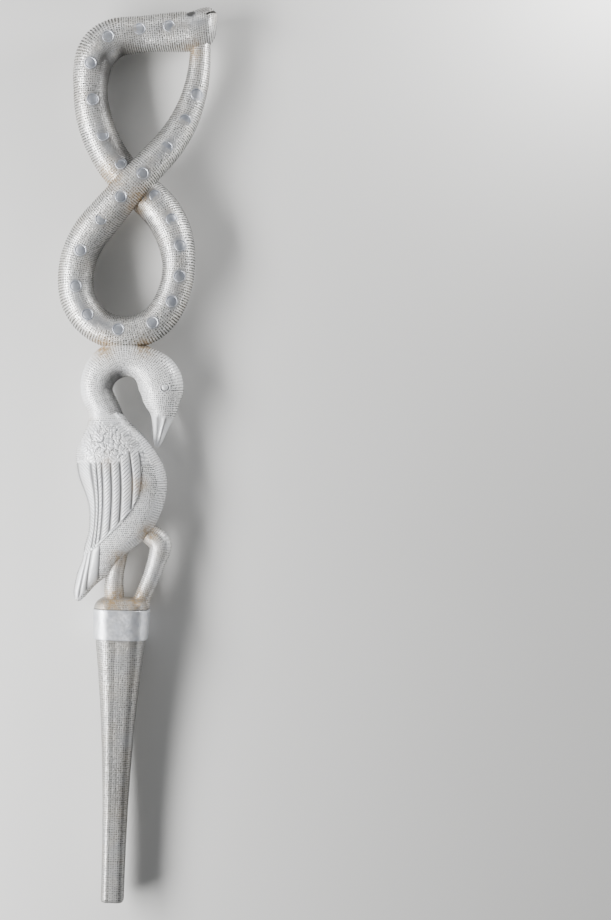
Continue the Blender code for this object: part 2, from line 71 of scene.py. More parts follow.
# The snake's middle line from its snout, in shares of its length: its start (across, along), its
# heading, and its runs (length, then radius and turn in degrees of the bend that follows)
SNOUT = (0.2427, 0.9466)
SNOUT_HEADING = math.radians(187.7)
SNAKE_RUNS = (
    (0.2714, 0.1025, 73.7),
    (0.0030, 0.3718, 59.3),
    (0.0542, 0.2610, -78.4),
    (0.0000, 0.1424, -144.5),
    (0.0000, 0.2364, -48.1),
    (0.2756, 0.4545, 39.7),
    (0.0440, 0.0000, 0.0),
)
ROUTE_STEP = 0.0005
# Its half widths at shares of that line
SNAKE_HALF_WIDTHS = (
    (0.000, 0.0450), (0.0035, 0.0540), (0.006, 0.0585), (0.022, 0.0613), (0.040, 0.0564),
    (0.063, 0.0514), (0.090, 0.0496), (0.145, 0.0575), (0.200, 0.0480), (0.260, 0.0512),
    (0.334, 0.0528), (0.370, 0.0550), (0.405, 0.0530), (0.450, 0.0457), (0.514, 0.0461),
    (0.630, 0.0497), (0.735, 0.0524), (0.800, 0.0466), (0.851, 0.0448), (0.892, 0.0412),
    (0.930, 0.0355), (1.000, 0.0277),
)
SNAKE_DEPTH_TO_WIDTH = 1.08
SNAKE_ROUNDNESS = 2.15
# The head's outline over the crown and under the chin: mm back from the snout, mm up from the
# middle line
HEAD_CROWN = (
    (-1.30, 5.8), (-1.20, 7.2), (-0.85, 8.4), (-0.30, 9.1), (0.50, 9.8), (0.95, 10.2), (1.7, 10.9),
    (2.9, 11.4), (4.6, 11.7), (6.0, 11.8), (8.2, 11.5), (10.1, 11.0), (12.0, 10.6), (12.9, 10.3),
    (13.8, 9.3), (14.9, 8.9), (16.1, 9.4), (17.2, 10.1), (18.9, 10.6), (24.0, 10.75), (30.0, 10.7),
    (36.0, 10.6), (42.0, 10.52),
)
HEAD_CHIN = (
    (-1.30, 5.8), (-1.25, 4.4), (-0.80, 1.8), (-0.30, -1.2), (0.93, -5.4), (2.95, -8.3),
    (4.6, -10.3), (8.0, -11.9), (12.0, -12.8), (16.0, -13.0), (18.9, -13.0), (24.0, -12.6),
    (30.0, -11.9), (36.0, -11.2), (42.0, -10.52),
)
# How far behind the snout it reaches its full depth, how far its own relief goes, and its way back
HEAD_ROUND = 0.008
HEAD_ROUNDNESS = 2.6
HEAD_REACH = 0.030
HEAD_BACK = np.array([math.sin(SNOUT_HEADING), math.cos(SNOUT_HEADING), 0.0])
# The corners of the slit for its mouth (as the outline), half the web that is left between both
# faces, the painted shadow round it, how near to the slit's walls a point is part of them (the
# walls and the web are painted dark as shade), and how far from the slit a flat face has to be to
# count as the head's open end
MOUTH_CUT = ((5.1, 5.1), (-3.3, 8.6), (-3.3, 11.2), (0.3, 11.2), (0.75, 8.2), (4.8, 6.0))
MOUTH_WEB = 0.0004
MOUTH_SHADOW = 0.0003
WALL_NEAR = 0.00002
CUT_REACH = 0.007
# The pit for the eye: back from the snout, up from the middle line, its reach both ways, its depth
EYE_PIT = (0.0143, 0.0067, 0.0026, 0.0020)
EYE_PIT_DEPTH = 0.0018
# The folds on the snout
FOLD_PITCH = 0.0015
FOLD_RISE = 0.00032
# Where along the snake its pieces meet, after the head
SNAKE_CUTS = (0.345, 0.665)
# At the crossing: where along the route each run is, how far a bend reaches, and how deep and high
UNDER_AT = 0.330
OVER_AT = 0.804
WEAVE_REACH = 0.115
UNDER_DROP = 0.0056
OVER_RISE = 0.0062
# The discs: share of the route, and how far to the side, as a share of half the width
DISCS = (
    (0.056, 0.07), (0.092, 0.10), (0.131, 0.00), (0.171, 0.00), (0.215, -0.19), (0.261, -0.21),
    (0.302, -0.26), (0.360, -0.27), (0.394, -0.25), (0.426, -0.25), (0.462, -0.18), (0.493, -0.16),
    (0.527, -0.02), (0.571, 0.15), (0.615, 0.09), (0.654, 0.10), (0.699, 0.09), (0.745, 0.10),
    (0.781, 0.12), (0.819, 0.16), (0.862, 0.16), (0.902, 0.18), (0.936, 0.30),
)
# No disc lies as near as this to where its face is covered at the crossing
DISC_HIDDEN = 0.025
DISC_TILT = 0.03
# From a disc's middle to its edge: share of its radius, rise in mm, shade
DISC_PROFILE = (
    (0.00, 0.22, 0.0), (0.25, 0.23, 0.0), (0.50, 0.21, 0.0), (0.70, 0.17, 0.05), (0.78, 0.11, 0.50),
    (0.83, 0.18, 0.15), (0.87, 0.33, 0.0), (0.91, 0.37, 0.0), (0.95, 0.30, 0.0), (0.99, 0.05, 0.50),
    (1.02, -0.30, 0.8),
)
# The bird's neck, head and bill: along, across, half width, half depth, in shares of its length
NECK = (
    (0.687, -0.067, 0.0600, 0.0651),
    (0.758, -0.097, 0.0608, 0.0638),
    (0.821, -0.127, 0.0624, 0.0638),
    (0.889, -0.117, 0.0680, 0.0651),
    (0.941, -0.072, 0.0730, 0.0638),
    (0.960, -0.011, 0.0720, 0.0625),
    (0.943, 0.050, 0.0700, 0.0638),
    (0.902, 0.103, 0.0860, 0.0717),
    (0.849, 0.130, 0.0880, 0.0749),
    (0.797, 0.135, 0.0752, 0.0684),
    (0.753, 0.139, 0.0560, 0.0534),
    (0.709, 0.135, 0.0384, 0.0391),
    (0.665, 0.128, 0.0264, 0.0287),
    (0.633, 0.123, 0.0184, 0.0208),
    (0.608, 0.119, 0.0085, 0.0104),
)
# Its body and tail: along, back edge, breast edge, half depth
BODY = (
    (0.820, -0.150, -0.090, 0.0300),
    (0.796, -0.160, -0.068, 0.0460),
    (0.769, -0.163, -0.045, 0.0560),
    (0.730, -0.156, -0.016, 0.0651),
    (0.679, -0.162, 0.034, 0.0782),
    (0.631, -0.183, 0.083, 0.0879),
    (0.583, -0.199, 0.119, 0.0945),
    (0.536, -0.200, 0.146, 0.0977),
    (0.488, -0.192, 0.162, 0.0990),
    (0.424, -0.166, 0.162, 0.0977),
    (0.360, -0.144, 0.148, 0.0945),
    (0.296, -0.140, 0.122, 0.0860),
    (0.248, -0.144, 0.096, 0.0782),
    (0.198, -0.157, 0.037, 0.0691),
    (0.149, -0.163, -0.011, 0.0599),
    (0.101, -0.180, -0.048, 0.0521),
    (0.051, -0.190, -0.106, 0.0404),
    (0.011, -0.193, -0.141, 0.0274),
    (-0.018, -0.184, -0.168, 0.0130),
)
BODY_ROUNDNESS = 2.3
BODY_EDGE = 0.985
NECK_ROUNDNESS = 2.1
LEG_ROUNDNESS = 2.0
EYE = (0.845, 0.149)
# From the eye's middle outwards: mm, rise in mm, shade
EYE_PROFILE = (
    (0.0, 0.75, 0.0), (0.8, 0.70, 0.0), (1.4, 0.52, 0.0), (1.75, 0.28, 0.1), (1.95, 0.05, 0.9),
    (2.15, -0.02, 1.0), (2.4, 0.0, 1.0), (2.6, 0.12, 0.7), (2.8, 0.38, 0.0), (3.0, 0.42, 0.0),
    (3.2, 0.25, 0.1), (3.4, 0.0, 0.7), (3.5, -0.6, 1.0),
)
BILL_TOP = 0.735
BREAST_RIB_PITCH = 0.0016
BREAST_RIB_REACH = 0.0060
# The wing's smooth shoulder: its levels and its reach out to both sides, in shares, and its grid
SHOULDER_LEVELS = (0.715, 0.530)
SHOULDER_OUTS = (-0.97, 0.80)
SHOULDER_GRID = 0.00028
# The engraved curls on it: kind, half width in mm, then an arc (right, up, radius, from, to in
# degrees) or a line's points, in mm from the middle (along, across)
CURL_MIDDLE = (0.0934, -0.0115)
CURL_WIDTH = 1.3
CURLS = (
    ("line", 0.30, (1.3, 12.2), (-0.6, 9.4), (1.1, 8.5), (-1.3, 6.6)),
    ("arc", 0.32, -3.9, 4.2, 2.6, -120, 30),
    ("arc", 0.28, -0.1, -0.2, 0.75, 0, 360),
    ("arc", 0.45, -1.7, -5.9, 4.4, 110, 250),
    ("line", 0.30, (4.4, 7.0), (3.4, 4.2), (5.3, 2.4), (4.4, 0.9)),
    ("line", 0.30, (8.8, 7.0), (9.1, 5.2), (8.1, 2.4), (9.5, 1.9), (7.7, -0.5)),
    ("line", 0.28, (11.0, 0.0), (12.8, -0.9), (11.0, -2.4)),
    ("arc", 0.34, 5.5, -5.2, 2.8, 20, 170),
    ("line", 0.28, (-8.3, 3.8), (-8.6, -0.5), (-8.1, -1.6)),
    ("line", 0.26, (-10.0, 6.1), (-9.3, 4.2)),
    ("arc", 0.30, -14.7, -7.0, 2.0, 0, 360),
    ("arc", 0.30, -14.7, -7.0, 0.4, 0, 360),
    ("line", 0.32, (-11.1, -6.1), (-11.6, -9.4), (-9.7, -12.2), (-6.9, -12.2)),
    ("arc", 0.28, 17.3, -5.2, 0.7, 0, 360),
    ("arc", 0.28, 17.5, -7.6, 0.7, 0, 360),
    ("arc", 0.32, 10.9, -7.5, 2.3, 10, 170),
    ("arc", 0.32, 17.0, -6.2, 3.2, 20, 170),
    ("line", 0.28, (-3.1, 13.6), (-4.3, 11.8), (-3.1, 9.4), (-3.9, 7.0)),
    ("line", 0.26, (3.4, 10.8), (5.3, 12.7), (7.7, 13.6)),
    ("line", 0.32, (0.6, -2.4), (-0.8, -4.2), (1.1, -5.2)),
    ("line", 0.28, (12.8, -2.4), (14.2, 0.0), (15.7, -1.4)),
    ("line", 0.26, (6.7, 9.9), (5.3, 7.5)),
    ("line", 0.28, (-6.0, 0.0), (-7.4, 0.9), (-6.9, 2.4)),
    ("line", 0.34, (-3.1, -11.3), (-1.3, -13.2), (0.6, -10.8)),
)
# The legs, as the neck
STRAIGHT_LEG = (
    (-0.037, -0.033, 0.0440, 0.0456),
    (0.003, -0.032, 0.0400, 0.0417),
    (0.047, -0.034, 0.0372, 0.0391),
    (0.099, -0.030, 0.0336, 0.0358),
    (0.160, -0.020, 0.0336, 0.0358),
    (0.235, -0.005, 0.0336, 0.0358),
)
BENT_LEG = (
    (-0.033, 0.075, 0.0360, 0.0391),
    (0.003, 0.082, 0.0328, 0.0365),
    (0.043, 0.096, 0.0316, 0.0345),
    (0.108, 0.121, 0.0344, 0.0358),
    (0.173, 0.140, 0.0392, 0.0391),
    (0.222, 0.145, 0.0450, 0.0404),
    (0.258, 0.103, 0.0400, 0.0391),
    (0.294, 0.054, 0.0360, 0.0358),
)
# The edges between the feathers: start and end (along, across), and how far each bows
WING_FEATHERS = (
    ((0.606, 0.050), (0.414, 0.063), 0.012),
    ((0.590, 0.018), (0.352, 0.034), 0.010),
    ((0.570, -0.020), (0.295, -0.012), 0.008),
    ((0.553, -0.054), (0.257, -0.051), 0.008),
    ((0.549, -0.090), (0.218, -0.090), 0.010),
    ((0.547, -0.112), (0.202, -0.107), 0.012),
    ((0.545, -0.134), (0.188, -0.123), 0.018),
    ((0.560, -0.190), (0.167, -0.159), 0.026),
)
TAIL_FEATHERS = (
    ((0.212, -0.087), (0.078, -0.092), 0.0),
    ((0.196, -0.122), (0.024, -0.141), 0.0),
    ((0.186, -0.138), (-0.006, -0.170), 0.0),
    ((0.180, -0.153), (-0.011, -0.180), 0.0),
)
# The pitch of their slanting strokes, columns of points a feather, spacing of points along it
WING_CUT = (0.0023, 14, 0.00034)
TAIL_CUT = (0.0, 10, 0.0005)
FEATHER_EASE = 0.15
FEATHER_FLOOR = 0.3
BACK_REACH = 0.965
CAP_INSET = 1.6

COLLAR_FOOT = GRIP_LENGTH
COLLAR_HEAD = GRIP_LENGTH + COLLAR_HEIGHT
CAP_FOOT = COLLAR_HEAD + SEAM
CAP_TOP = CAP_FOOT + CAP_HEIGHT
SNAKE_FOOT = CAP_TOP + BIRD_LENGTH
CROWN_ACROSS = -0.0296 * BIRD_LENGTH

# The punched dots: their pitch, how many points each takes along and round, and how deep they go
PITCH = 0.0014
BIRD_PITCH = 0.0012
SAMPLES = 3
DOT_DEPTH = 0.00026
RIB_DEPTH = 0.00020
BUMP_RISE = 0.00005
# How far points are shoved about, and rings sway, fully from this many rings off a tube's end
SHOVE = 0.00005
SWAY = 0.00030
SWAY_RINGS = 9
NORMAL_REACH = 0.0006
FLOOR_GAP = 0.00005
# Painted shade on the inner walls of the loops and the neck, where the light hardly comes (how dark
# it is), how much darker the grip gets down towards its tip, and for the loops: share of the route
# where it starts, is full and ends, side (-1 left, 1 right), where to the side it starts, over how
# much of half the width it grows, and how strong it is
WALL_SHADE_PAINT = 0.88
GRIP_DARKENING = 0.24
LOOP_SHADE_SPANS = (
    ((0.08, 0.12, 0.29, 0.32), -1, 0.02, 0.55, 1.0),
    ((0.50, 0.60, 0.77, 0.80), 1, 0.20, 0.60, 0.7),
)
# Where the dirt sits: along, across, reach and strength
SOIL = (
    (0.1856, -0.0050, 0.0080, 1.0), (0.1862, 0.0098, 0.0068, 1.0),
    (0.3390, -0.0165, 0.0075, 1.0), (0.3400, 0.0090, 0.0060, 0.9),
    (0.4440, -0.0160, 0.0080, 0.8), (0.4400, -0.0110, 0.0060, 0.7),
    (0.4310, 0.0040, 0.0065, 0.8), (0.4240, 0.0010, 0.0050, 0.7),
    (0.5215, 0.0330, 0.0060, 0.8), (0.2560, 0.0100, 0.0050, 0.7),
    (0.2260, 0.0155, 0.0060, 1.0), (0.2105, -0.0020, 0.0060, 0.7),
    (0.2950, -0.0270, 0.0060, 0.5), (0.2700, -0.0100, 0.0050, 0.4),
)

# The lights: name, place, what they point at, size both ways, power
LIGHTS = (
    ("key", (-0.10, 0.50, 0.38), (0.0, 0.0, 0.0), (0.9, 0.20), 15.0),
    ("rim", (0.10, -0.55, 0.075), (0.0, 0.0, 0.0), (0.9, 0.08), 1.2),
    ("head", (0.75, 0.10, 0.35), (0.0, 0.0, 0.0), (0.4, 0.3), 1.0),
    ("snout", (0.36, -0.34, 0.11), (0.262, -0.040, 0.017), (0.12, 0.12), 1.6),
)
FLOOR_REACH = 4.0
# The photograph: how the staff leans, its scale, its size and the place of the grip's tip in
# pixels, and the height from which the camera looks down
LEAN = math.radians(1.85)
METRES_A_PIXEL = 0.55 / 895.5
PICTURE = (611, 920)
TIP_PIXEL = (112.3, 901.0)
CAMERA_AWAY = 1.20

TIP_MOUNT = frame["record"]["mounts"][0]["pos_m"]
draws = np.random.default_rng(7)


def clamp(value):
    """A value held between 0 and 1."""
    return np.clip(value, 0.0, 1.0)


def bell(value):
    """A round hill: 1 at 0, and hardly anything beyond 2 on either side."""
    return np.exp(-(value**2))


def dome(out, roundness):
    """How high an oval with a half height of 1 stands, at shares out from its middle."""
    return (1 - np.abs(out) ** roundness) ** (1 / roundness)


def ray(angle):
    """A direction in the plane."""
    return np.array([math.cos(angle), math.sin(angle)])


def unit(rows):
    """Directions of rows, each 1 long."""
    return rows / np.linalg.norm(rows, axis=1)[:, None]


def travelled(points):
    """How far each point lies along the line through all of them."""
    return np.concatenate([[0.0], np.cumsum(np.linalg.norm(np.diff(points, axis=0), axis=1))])


def away_from(x, y, one, two):
    """How far places (x, y) are from the straight line between two points."""
    run = two - one
    share = clamp(((x - one[0]) * run[0] + (y - one[1]) * run[1]) / (run @ run))
    return np.hypot(x - one[0] - share * run[0], y - one[1] - share * run[1])


def ripple(a, b, seed):
    """A slow random wave over two coordinates, from about -1 to 1."""
    chance = np.random.default_rng(seed)
    total = np.zeros(np.broadcast(a, b).shape)
    for _ in range(5):
        fa, fb, phase = chance.uniform(90, 320), chance.uniform(90, 320), chance.uniform(0, 6.3)
        total = total + np.sin(fa * a + fb * b + phase)
    return total / 3.2


def uneven(at, out, up, seed):
    """Two slow random waves over a tube's skin, the second two to three times as wide."""
    return ripple(at, out + 0.5 * up, seed), ripple(at / 3, out / 2 + 0.3 * up, seed + 1)


def cubic(at, rows, where):
    """Natural cubic curve through rows at the places at, read at where."""
    gap = np.diff(at)[:, None]
    slopes = np.diff(rows, axis=0) / gap
    system = np.eye(len(at))
    change = np.zeros_like(rows)
    for i in range(1, len(at) - 1):
        system[i, i - 1 : i + 2] = gap[i - 1, 0], 2 * (gap[i - 1, 0] + gap[i, 0]), gap[i, 0]
        change[i] = 6 * (slopes[i] - slopes[i - 1])
    bend = np.linalg.solve(system, change)
    k = np.clip(np.searchsorted(at, where, side="right") - 1, 0, len(at) - 2)
    a = (at[k + 1] - where)[:, None] / gap[k]
    b = 1.0 - a
    curve = ((a**3 - a) * bend[k] + (b**3 - b) * bend[k + 1]) * gap[k] ** 2 / 6
    return a * rows[k] + b * rows[k + 1] + curve


def smooth_rows(rows, count):
    """Evenly spaced rows of the smooth curve through the given ones; the first two set its pace."""
    rows = np.array(rows, float)
    at = travelled(rows[:, :2])
    fine = np.linspace(0.0, at[-1], 40 * count)
    gone = travelled(cubic(at, rows, fine)[:, :2])
    return cubic(at, rows, np.interp(np.linspace(0.0, gone[-1], count), gone, fine))


def snake_route(count):
    """The snake's middle line as even points (across, along), in shares of its length."""
    place, heading = np.array(SNOUT), SNOUT_HEADING
    points = [place]
    for run, radius, turn in SNAKE_RUNS:
        steps = max(1, round(run / ROUTE_STEP))
        points += [place + ray(heading) * run * (i + 1) / steps for i in range(steps)]
        turn = math.radians(turn)
        swing = math.copysign(radius, turn)
        centre = points[-1] + swing * ray(heading + math.pi / 2)
        steps = round(abs(turn) * radius / ROUTE_STEP)
        for i in range(steps):
            points.append(centre + swing * ray(heading - math.pi / 2 + turn * (i + 1) / steps))
        place = points[-1]
        heading += turn
    points = np.array(points)
    gone = travelled(points)
    keep = np.concatenate([[True], np.diff(gone) > 1e-9])
    even = np.linspace(0.0, 1.0, count) * gone[-1]
    return np.column_stack([np.interp(even, gone[keep], points[keep, k]) for k in (0, 1)])


ROUTE = snake_route(4001)


def weave(share):
    """How far the snake's middle line leaves the staff's middle plane, at a share of its route."""
    depth = 0.0
    for at, rise in ((OVER_AT, OVER_RISE), (UNDER_AT, -UNDER_DROP)):
        near = clamp(np.abs(share - at) / WEAVE_REACH)
        depth = depth + rise * (1 + np.cos(math.pi * near)) / 2
    return depth


def snake_rows(shares):
    """Rows (along, across, depth, half width, half depth) of the snake at shares of its route."""
    shares = np.asarray(shares, float)
    read = np.linspace(0.0, 1.0, len(ROUTE))
    across = CROWN_ACROSS + np.interp(shares, read, ROUTE[:, 0]) * SNAKE_LENGTH
    along = SNAKE_FOOT + np.interp(shares, read, ROUTE[:, 1]) * SNAKE_LENGTH
    half = np.interp(shares, *np.array(SNAKE_HALF_WIDTHS).T) * SNAKE_LENGTH
    return np.stack([along, across, weave(shares), half, half * SNAKE_DEPTH_TO_WIDTH], axis=1)


def bird_rows(rows, count):
    """Rows as the snake's, from rows in shares of the bird's length."""
    along, across, half_width, half_depth = smooth_rows(rows, count).T * BIRD_LENGTH
    return np.stack([CAP_TOP + along, across, 0 * along, half_width, half_depth], axis=1)


def body_section(level):
    """The bird's body at places along it: its middle, half width and half depth, in shares."""
    rows = np.array(BODY)[::-1]
    back, breast, half_depth = cubic(rows[:, 0], rows[:, 1:], np.ravel(level)).T
    return (back + breast) / 2, (breast - back) / 2, half_depth


def body_surface(level, across):
    """How far the bird's body stands out of the middle plane at places, in shares."""
    middle, half, half_depth = body_section(level)
    out = np.minimum(np.abs(np.ravel(across) - middle) / half, BODY_EDGE)
    return half_depth * dome(out, BODY_ROUNDNESS)


def to_row(points):
    """From (along, across, depth) to the part's frame."""
    return np.asarray(points, float) * [1, -1, 1] + TIP_MOUNT


def oval(half_width, half_depth, roundness):
    """Closely spaced points (sideways, upwards) round an oval, from the top towards +sideways."""
    angle = np.linspace(0.0, 2 * math.pi, 481)
    around = np.column_stack([np.sin(angle), np.cos(angle)])
    return [half_width, half_depth] * np.sign(around) * np.abs(around) ** (2 / roundness)


def rounded_square(width, grow=0.0):
    """The same round a square with round corners."""
    half, radius = width / 2 + grow, CORNER_ROUND * width + grow
    points = [(0.0, half)]
    for quarter in range(4):
        middle = math.pi / 4 - quarter * math.pi / 2
        centre = (half - radius) * math.sqrt(2) * ray(middle)
        for angle in np.linspace(middle + math.pi / 4, middle - math.pi / 4, 25):
            points.append(centre + radius * ray(angle))
    return np.array([*points, points[0]])


def spaced(outline, count, turn):
    """Evenly spaced points of a closed outline, and their outward normals."""
    gone = travelled(outline)
    even = (np.arange(count) + turn) / count % 1.0 * gone[-1]
    place, ahead, behind = (
        np.column_stack([np.interp((even + step) % gone[-1], gone, outline[:, k]) for k in (0, 1)])
        for step in (0.0, NORMAL_REACH, -NORMAL_REACH)
    )
    along = ahead - behind
    return place, unit(np.column_stack([along[:, 1], -along[:, 0]]))


def band(one, two, count):
    """Faces between two closed rings of points, from the number of the first point of each."""
    i = np.arange(count)
    j = (i + 1) % count
    return np.column_stack([one + i, one + j, two + j, two + i])


def fan(hub, ring, count):
    """Faces from a middle point to a closed ring."""
    i = np.arange(count)
    return np.column_stack([np.full(count, hub), ring + i, ring + (i + 1) % count])


def sheet_faces(first, columns, rows):
    """Faces of a sheet of points that are numbered column by column."""
    column, row = np.meshgrid(np.arange(columns - 1), np.arange(rows - 1), indexing="ij")
    a = first + (column * rows + row).ravel()
    return np.column_stack([a, a + rows, a + rows + 1, a + 1])


class Skin:
    """A mesh in the making: its points and faces, and what its material reads at each of them.

    Each point has its wear (how crisp the dots are), rib (how deep the rings between them are) and
    shade (painted shade on walls, in grooves and in hollows, and any other dark line), and each
    corner of a face its place among the dots (column, ring).
    """

    def __init__(self):
        self.points, self.shades, self.faces, self.cells, self.smooth = [], [], [], [], []
        self.count = 0

    def add_points(self, points, wear=0.0, rib=0.0, shade=0.0):
        """Add points, and say the number of the first."""
        n = len(points)
        self.points.append(np.asarray(points, float))
        self.shades.append(np.column_stack([np.broadcast_to(v, (n,)) for v in (wear, rib, shade)]))
        self.count += n
        return self.count - n

    def add_faces(self, faces, cells=None, smooth=True, flip=False):
        faces = np.asarray(faces)[:, :: -1 if flip else 1]
        self.faces.append(faces)
        self.smooth.append(np.full(len(faces), smooth))
        self.cells.append(np.full((*faces.shape, 2), 0.5) if cells is None else cells)

    def bridge(self, one, two):
        """Join two rings (first point, number of points, column and ring of each dot)."""
        (a, m, columns, ring_a), (b, n, _, ring_b) = one, two
        if m == n:
            cells = None
            if round(ring_a) == round(ring_b):
                beside = columns + 1.0 / SAMPLES
                corners = (columns, ring_a), (beside, ring_a), (beside, ring_b), (columns, ring_b)
                cells = np.stack([np.column_stack([c, np.full(m, v)]) for c, v in corners], axis=1)
            self.add_faces(band(a, b, m), cells)
            return
        faces = []
        i = j = 0
        while i < m or j < n:
            if j >= n or (i < m and (i + 1) / m <= (j + 1) / n):
                faces.append((a + i % m, a + (i + 1) % m, b + j % n))
                i += 1
            else:
                faces.append((a + i % m, b + (j + 1) % n, b + j % n))
                j += 1
        self.add_faces(faces)

    def close(self, ring, flip):
        """Close a ring by a flat fan from its middle."""
        a, m = ring[:2]
        hub = self.add_points(np.concatenate(self.points)[a : a + m].mean(axis=0)[None])
        self.add_faces(fan(hub, a, m), smooth=False, flip=flip)


def tube_rings(middles, sides, ups, outlines, pitch, relief, steady=False):
    """Rings of a punched tube: (points, wear, rib, shade, columns, ring number) for each."""
    rings = []
    middle_row = SAMPLES // 2
    order = np.arange(len(outlines))
    inside = clamp(np.minimum(order, order[::-1]) / SWAY_RINGS)
    for i, outline in enumerate(outlines):
        row = i % SAMPLES
        if row == 0:
            lead = outlines[min(i + middle_row, len(outlines) - 1)]
            count = SAMPLES * max(5, round(travelled(lead)[-1] / pitch))
            turn = 0.0 if steady else draws.uniform(-0.5, 0.5)
        place, normal = spaced(outline, count, turn)
        column = np.arange(count) % SAMPLES
        beside = np.abs(place[:, 0]) / max(1e-9, np.abs(outline[:, 0]).max())
        *looks, rise = relief(i, place, beside)
        wear, rib, shade = (np.broadcast_to(look, (count,)) for look in looks)
        lift = np.zeros(count) + rise
        if row == middle_row:
            punch = np.where(column == middle_row, draws.uniform(0.6, 1.3, count), 0.0)
            lift = lift - punch * wear * DOT_DEPTH - RIB_DEPTH * rib
        else:
            lift = lift + np.where(column != middle_row, BUMP_RISE, 0.0) * wear
        place = place + normal * lift[:, None] + draws.normal(0.0, SHOVE, (count, 2))
        points = middles[i] + sides[i] * place[:, :1] + ups[i] * place[:, 1:]
        round_at = (place[:, 0] + 0.7 * place[:, 1]) / 2.5
        sway = ripple(middles[i, 0] / 4 + middles[i, 1] / 5, round_at, 2)
        points = points + np.cross(sides[i], ups[i]) * (SWAY * sway * inside[i])[:, None]
        columns = (np.arange(count) - middle_row) / SAMPLES
        rings.append((points, wear, rib, shade, columns, (i - middle_row) / SAMPLES))
    return rings


def skin_over(skin, rings, ends=(True, True)):
    """Add a run of rings to a skin, with its ends closed or open."""
    last = first = None
    for points, wear, rib, shade, columns, number in rings:
        ring = (skin.add_points(points, wear, rib, shade), len(points), columns, number)
        if last:
            skin.bridge(last, ring)
        last, first = ring, first or ring
    if ends[0]:
        skin.close(first, flip=True)
    if ends[1]:
        skin.close(last, flip=False)


def punched_tube(skin, middles, sides, ups, outlines, relief, pitch=PITCH, steady=False):
    skin_over(skin, tube_rings(middles, sides, ups, outlines, pitch, relief, steady))


def frames(middles):
    """Sideways and upwards directions square to a middle line."""
    ahead = unit(np.gradient(middles, axis=0))
    sides = unit(np.cross([0.0, 0.0, 1.0], ahead))
    return sides, np.cross(ahead, sides)


def straight(levels, across=0.0):
    """A middle line along the staff, with its sideways and upwards directions."""
    middles = np.column_stack([levels, 0 * levels + across, 0 * levels])
    return middles, 0 * middles + [0.0, 1.0, 0.0], 0 * middles + [0.0, 0.0, 1.0]


def spreading(rows, gone):
    """How much a bend spreads the rings, per metre sideways of the middle line."""
    ways = np.unwrap(np.arctan2(np.gradient(rows[:, 1]), np.gradient(rows[:, 0])))
    return -np.convolve(np.gradient(ways, gone), np.ones(15) / 15, "same")


def soil_at(points):
    """Brown dirt near the joints, from 0 to 1, at points (along, across, depth)."""
    total = np.zeros(len(points))
    for along, across, reach, strength in SOIL:
        away = np.hypot(points[:, 0] - along, points[:, 1] - across)
        total = np.maximum(total, strength * bell(away / reach))
    return total


def add_object(name, data):
    made = bpy.data.objects.new(name, data)
    bpy.context.scene.collection.objects.link(made)
    return made


def add_mesh(name, points, faces, material=None):
    """A new object with a mesh of points in the part's frame."""
    mesh = bpy.data.meshes.new(name)
    mesh.from_pydata(np.array(points, float).tolist(), [], faces)
    if material:
        mesh.materials.append(material)
    return add_object(name, mesh)


def finish_piece(name, skin, material, node="staff", cut=None):
    """One object from a skin, on the body, with its shades and its finish."""
    points = np.concatenate(skin.points)
    points[:, 2] = np.maximum(points[:, 2], FLOOR_GAP - TIP_MOUNT[2])
    faces = [tuple(face) for block in skin.faces for face in block.tolist()]
    piece = add_mesh(name, to_row(points), faces, material)
    mesh = piece.data
    looks = (*np.concatenate(skin.shades).T, soil_at(points))
    for key, values in zip(("wear", "rib", "shade", "soil"), looks):
        layer = mesh.attributes.new(key, "FLOAT", "POINT")
        layer.data.foreach_set("value", values.astype(np.float32))
    corners = np.concatenate([block.reshape(-1, 2) for block in skin.cells])
    cells = np.column_stack([corners, np.zeros(len(corners))]).astype(np.float32)
    mesh.attributes.new("cell", "FLOAT_VECTOR", "CORNER").data.foreach_set("vector", cells.ravel())
    mesh.polygons.foreach_set("use_smooth", np.concatenate(skin.smooth))
    if cut:
        cut_away(piece, cut)
    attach(piece, "root")
    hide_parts(node)


def cut_away(piece, cutter):
    """Take a cutter away from a piece, paint its walls dark as shade, and open the flat end again.
    """
    step = piece.modifiers.new("cut", "BOOLEAN")
    step.operation, step.object, step.solver = "DIFFERENCE", cutter, "MANIFOLD"
    bpy.context.view_layer.update()
    graph = bpy.context.evaluated_depsgraph_get()
    cut = bpy.data.meshes.new_from_object(piece.evaluated_get(graph))
    piece.modifiers.clear()
    piece.data = cut
    blade = [vertex.co for vertex in cutter.data.vertices]
    walls = BVHTree.FromPolygons(blade, [face.vertices for face in cutter.data.polygons])
    # Painted shade: the walls of the cut and the web between them are made fully dark
    for vertex, shade in zip(cut.vertices, cut.attributes["shade"].data):
        if walls.find_nearest(vertex.co, WALL_NEAR)[0]:
            shade.value = 1.0
    opened = bmesh.new()
    opened.from_mesh(cut)
    ends = [
        face for face in opened.faces
        if not face.smooth and (face.calc_center_median().xy - blade[0].xy).length > CUT_REACH
    ]
    bmesh.ops.delete(opened, geom=ends, context="FACES")
    opened.to_mesh(cut)
    opened.free()
    bpy.data.objects.remove(cutter)


def head_rows(spacing):
    """The head's rings, even over its crown: how far back each is, its top and its bottom."""
    crown, chin = np.array(HEAD_CROWN) / 1000.0, np.array(HEAD_CHIN) / 1000.0
    gone = travelled(crown)
    count = round(gone[-1] / spacing)
    back = np.interp(gone[-1] * (np.arange(count) + 0.6) / count, gone, crown[:, 0])
    back = np.maximum(back, crown[0, 0] + 0.00002)
    return back, np.interp(back, *crown.T), np.interp(back, *chin.T)


